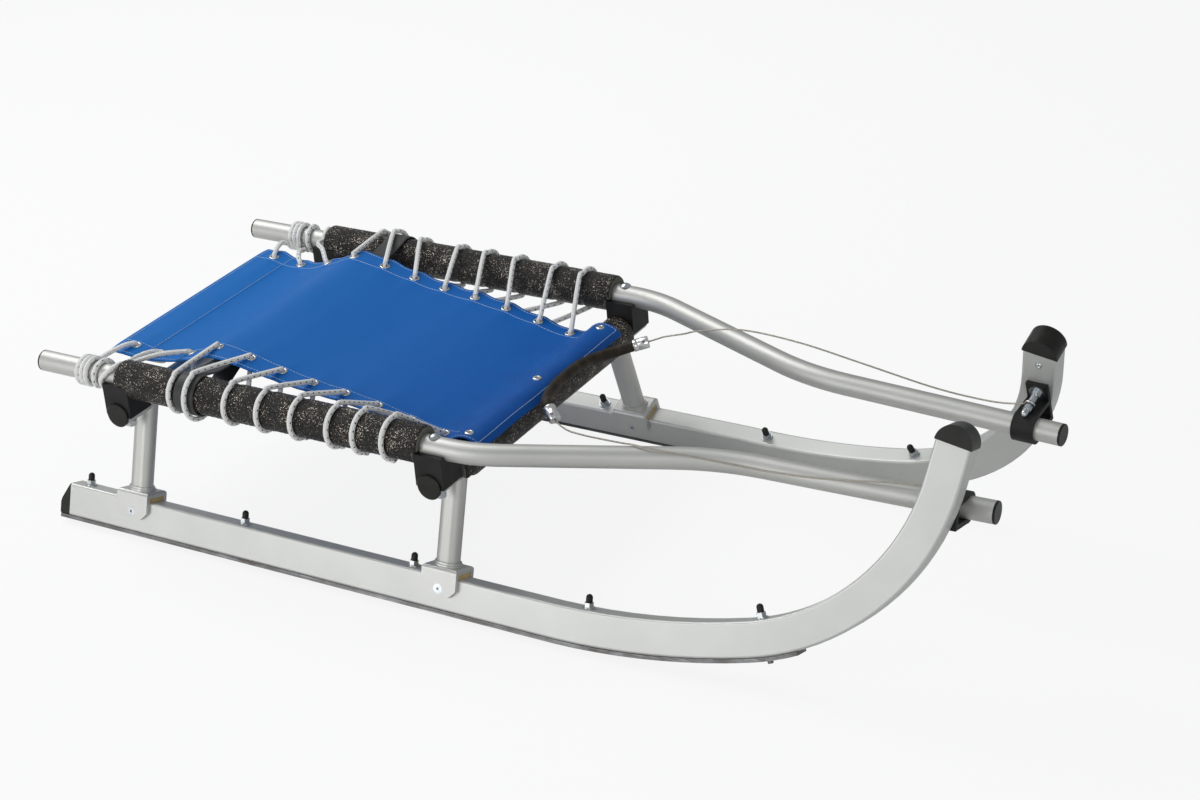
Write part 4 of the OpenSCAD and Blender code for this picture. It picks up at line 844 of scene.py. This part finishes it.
# One white braided rope a side, 6 mm thick with dark flecks, laces the panel to the rails. It comes up
# through an eyelet, goes over and round the foam and in below the eyelet behind, and so on to the rear,
# where it ends in a tight winding on the bare rail.
turn_step = 21
lace_radius, ease_radius = foam_radius + rope_radius - 1.2, foam_radius + rope_radius + 0.5
strap_lace_radius = foam_radius + strap_thick + rope_radius + 1.4
wind_radius = rail_radius + rope_radius + 0.5
beyond = np.vstack([eyelets[:, :2], [[-48, rail_z - 27.5]]])
before = np.vstack([eyelets[:1, :2], eyelets[:, :2]])[:-1]
tilt = np.arctan((beyond[1:, 1] - before[:, 1]) / (beyond[1:, 0] - before[:, 0]))
lean_run = 62
winding_pitch, winding_start = 6.3, -521.5


def on_ring(x, radius, degrees):
    """Points of rings round the left rail; the angle runs from the top, towards the outside."""
    x, radius, turn = np.broadcast_arrays(x, radius, np.radians(degrees))
    return np.stack([x, rail_y + radius * np.sin(turn), rail_z + radius * np.cos(turn)], -1)


def at_eyelet(i, near, turn):
    """Points near eyelet i, given as (out from its axis, up along it), turned by an angle to the front."""
    out, up = np.atleast_2d(near).astype(float).T
    forward = out * np.sin(turn)
    return np.stack([
        eyelets[i, 0] + forward * np.cos(tilt[i]) - up * np.sin(tilt[i]),
        eyelet_y + out * np.cos(turn),
        eyelets[i, 1] + forward * np.sin(tilt[i]) + up * np.cos(tilt[i]),
    ], -1)


def lean(i, x):
    """Angle by which a strand at eyelet i heads to a turn at x."""
    return np.arctan2(x - eyelets[i, 0], lean_run)


def low_lean(i, x):
    """The same for the strand below the cloth, which comes straight out from under the strap."""
    return 0.0 if over_strap(x) else lean(i, x)


def through(i, turn):
    """The rope's way up through eyelet i and over its rim."""
    return at_eyelet(i, [[0.2, -1.8], [0.2, 1.6], [0.9, 3.9], [2.7, 5.5], [5, 6]], turn)


def into(i, column):
    """The rope's way in under eyelet i, from the turn in front of it."""
    if i == 10:
        return at_eyelet(i, [[1, -13]], 0.0)
    return at_eyelet(i, [[5, -7.2], [2.2, -6]], low_lean(i, eyelets[i + 1, column]))


def aim(point, radius):
    """Direction of a point from the rail, and the angle from it to its tangent on a ring, in degrees."""
    y, z = point[0, 1] - rail_y, point[0, 2] - rail_z
    return np.degrees(np.arctan2(z, y)) % 360, np.degrees(np.arccos(radius / np.hypot(y, z)))


def rope_turn(i, column):
    """Route of one turn: up through eyelet i, over the foam, round it and back in below eyelet i - 1."""
    x, next_x = eyelets[i, column], eyelets[i - 1, 0]
    over = over_strap(x)
    radius, end_radius = (strap_lace_radius, strap_lace_radius) if over else (lace_radius, ease_radius)
    top, top_off = aim(at_eyelet(i, [[5, 6]], lean(i, x)), end_radius)
    low, low_off = aim(at_eyelet(i - 1, [[5, -7.2]], low_lean(i - 1, x)), end_radius)
    first, last = 90 - top + top_off, 450 - low - low_off
    steps = int(np.ceil((last - first) / turn_step)) + 1
    radii = np.r_[end_radius, np.full(steps - 2, radius), end_radius]
    way_down = np.array([
        [0.75 * x + 0.25 * next_x, 180, rail_z - 19.6], [0.3 * x + 0.7 * next_x, 165, rail_z - 13.6],
        [next_x, 151, rail_z - 7],
    ])
    return np.vstack([
        into(i, column), through(i, lean(i, x)), on_ring(x, radii, np.linspace(first, last, steps)),
        way_down[:3 if over else 0],
    ])


def rope_route(column):
    """Route of a side's whole rope on the left side, from the front eyelet to the winding's tail."""
    lift = np.array([0, 0, rail_z])
    across_top = np.array([
        [-60, -464], [-38, -464.5], [-16, -465.3], [6, -466.5],
        [28, -469.5], [50, -474], [71, -479], [90, -482.7],
    ])
    round_rail = np.vstack([across_top, [[112 + 21.5 * k, -483.2 - 0.65 * k] for k in range(23)]])
    winding, steps_a_turn = np.arange(48), 16
    return np.vstack([
        *(rope_turn(i, column) for i in range(10, 2, -1)),
        into(2, column), through(2, np.radians(-50)),
        lift + [[-440, 162, 13.2], [-457, 176.5, 10.2], [-463.8, 187, 8.6]],
        on_ring(round_rail[:, 1], wind_radius, round_rail[:, 0]),
        lift + [[-491.5, 187, -7.5], [-485, 173, -1], [-476, 158.5, 3.4], [-468.5, 147.5, 3.8]],
        through(1, np.radians(-50))[::-1],
        lift + [[-459.5, 138, -9.2], [-464, 138, -11.8], [-480, 138, -12.6]],
        lift + [[-494, 138, -9.6], [-498.4, 138, -6]],
        through(0, np.radians(-20)),
        lift + [[-506, 154, 8], [-514, 171, 5], [-521, 184.5, -0.3]],
        on_ring(winding_pitch * winding / steps_a_turn + winding_start, wind_radius,
                -115 - 360 / steps_a_turn * winding),
        lift + [[-502.7, 193.3, -6.5], [-502.5, 192, -13], [-502, 189, -19]],
    ])


braid, nodes, links, shader, place = finish_nodes("flecked_white_braid", (0.78, 0.78, 0.75), 0.0, 0.7)
shader.inputs["Sheen Weight"].default_value = 0.2
u, v = add_uv(nodes, links, place)
right_hand = add_wave(nodes, links, u, v, 160, 4)
left_hand = add_wave(nodes, links, u, v, 160, -4)
crossing = add_math(nodes, links, "MULTIPLY", right_hand, left_hand)
right_mark = add_wave(nodes, links, u, v, 55, 1)
left_mark = add_wave(nodes, links, u, v, 55, -1)
marks = add_math(nodes, links, "MULTIPLY", right_mark, left_mark)
mark_edge = add_math(nodes, links, "ADD", marks, add_math(nodes, links, "MULTIPLY", crossing, 0.12))
paint(nodes, links, shader, mark_edge, [
    (0.0, (0.84, 0.84, 0.82)), (0.86, (0.80, 0.80, 0.78)),
    (0.92, (0.045, 0.05, 0.07)), (1.0, (0.03, 0.035, 0.05)),
])
add_bump(nodes, links, shader, crossing, 0.7, 0.0005)
for sign, side_name, column in ((1, "left", 2), (-1, "right", 3)):
    centre = smooth_route(rope_route(column) * [1, sign, 1] * MM, 4)
    rope = tube("lacing_rope_" + side_name, centre, rope_radius * MM, 14)
    rope.data.materials.append(braid)
    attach(rope, "root")
    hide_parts("lacing_" + side_name)


# A round-headed screw in each horn's inner face, near the top, holds the horn's cap.
# It is zinc plated, and driven in square to the face.
pan_head = np.array([
    [-1.5, 0], [-1.5, 4.0], [0.6, 4.0], [1.5, 3.6], [2.2, 2.6], [2.5, 1.7], [1.3, 1.5], [1.3, 0],
])
head_parts = []
for sign in (1, -1):
    inward = np.array([0.0436 * 0.949, -0.949 * sign, -0.314])
    seat = np.array([546.6, 109.4 * sign, 264.4])
    head_parts.append(turned(pan_head * MM, seat * MM, (seat + inward) * MM, 24))
cap_screws = stacked("horn_cap_screws", head_parts, zinc)
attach(cap_screws, "root")


# The studio: a white floor that keeps a soft shadow, a white surround, and three large soft lamps, one above
# the rear, one off the front right corner and one low down on the right.
def bright_to_camera(name, colour, shade):
    """Matte surface that shows the camera mostly plain white, so that only part of the shade is left."""
    material = bpy.data.materials.new(name)
    material.use_nodes = True
    nodes, links = material.node_tree.nodes, material.node_tree.links
    nodes.clear()
    out = nodes.new("ShaderNodeOutputMaterial")
    matte = nodes.new("ShaderNodeBsdfDiffuse")
    matte.inputs["Color"].default_value = (*colour, 1)
    white = nodes.new("ShaderNodeEmission")
    white.inputs["Color"].default_value = (1, 1, 1, 1)
    seen = nodes.new("ShaderNodeLightPath")
    mix = nodes.new("ShaderNodeMixShader")
    links.new(add_math(nodes, links, "MULTIPLY", seen.outputs["Is Camera Ray"], 1 - shade), mix.inputs["Fac"])
    links.new(matte.outputs[0], mix.inputs[1])
    links.new(white.outputs[0], mix.inputs[2])
    links.new(mix.outputs[0], out.inputs["Surface"])
    return material


floor_half = 9.0
floor_corners = floor_half * np.array([[-1, -1, 0], [1, -1, 0], [1, 1, 0], [-1, 1, 0]])
floor = mesh_piece("studio_floor", floor_corners, [[0, 1, 2, 3]], smooth=False)
shadow_share = 0.13
floor.data.materials.append(bright_to_camera("white_floor", (0.80, 0.80, 0.80), shadow_share))

world = bpy.data.worlds.new("studio_surround")
bpy.context.scene.world = world
world.use_nodes = True
nodes, links = world.node_tree.nodes, world.node_tree.links
nodes.clear()
out = nodes.new("ShaderNodeOutputWorld")
dim = nodes.new("ShaderNodeBackground")
dim.inputs["Color"].default_value = (0.93, 0.96, 1.0, 1)
dim.inputs["Strength"].default_value = 0.36
white = nodes.new("ShaderNodeBackground")
white.inputs["Strength"].default_value = 1.0
seen = nodes.new("ShaderNodeLightPath")
mix = nodes.new("ShaderNodeMixShader")
links.new(seen.outputs["Is Camera Ray"], mix.inputs["Fac"])
links.new(dim.outputs[0], mix.inputs[1])
links.new(white.outputs[0], mix.inputs[2])
links.new(mix.outputs[0], out.inputs["Surface"])


def soft_lamp(name, place, target, size, watts):
    """Square area lamp at a place, pointed at a target."""
    lamp = bpy.data.lights.new(name, "AREA")
    lamp.size = size
    lamp.energy = watts
    holder = bpy.data.objects.new(name, lamp)
    way = np.array(target, float) - np.array(place, float)
    back = -way / np.linalg.norm(way)
    side = np.cross([0, 0, 1] if abs(back[2]) < 0.98 else [0, 1, 0], back)
    side /= np.linalg.norm(side)
    holder.matrix_world = Matrix.Translation(place) @ Matrix(
        [list(axes) for axes in zip(side, np.cross(back, side), back)]).to_4x4()
    bpy.context.scene.collection.objects.link(holder)


soft_lamp("rear_overhead_box", (-1.7, 0.3, 2.3), (-0.2, 0, 0.15), 1.6, 36)
soft_lamp("front_right_box", (2.0, -2.4, 1.3), (0, 0, 0.15), 1.4, 16)
soft_lamp("right_side_box", (-1.4, -3.0, 0.9), (0, 0, 0.15), 1.8, 30)
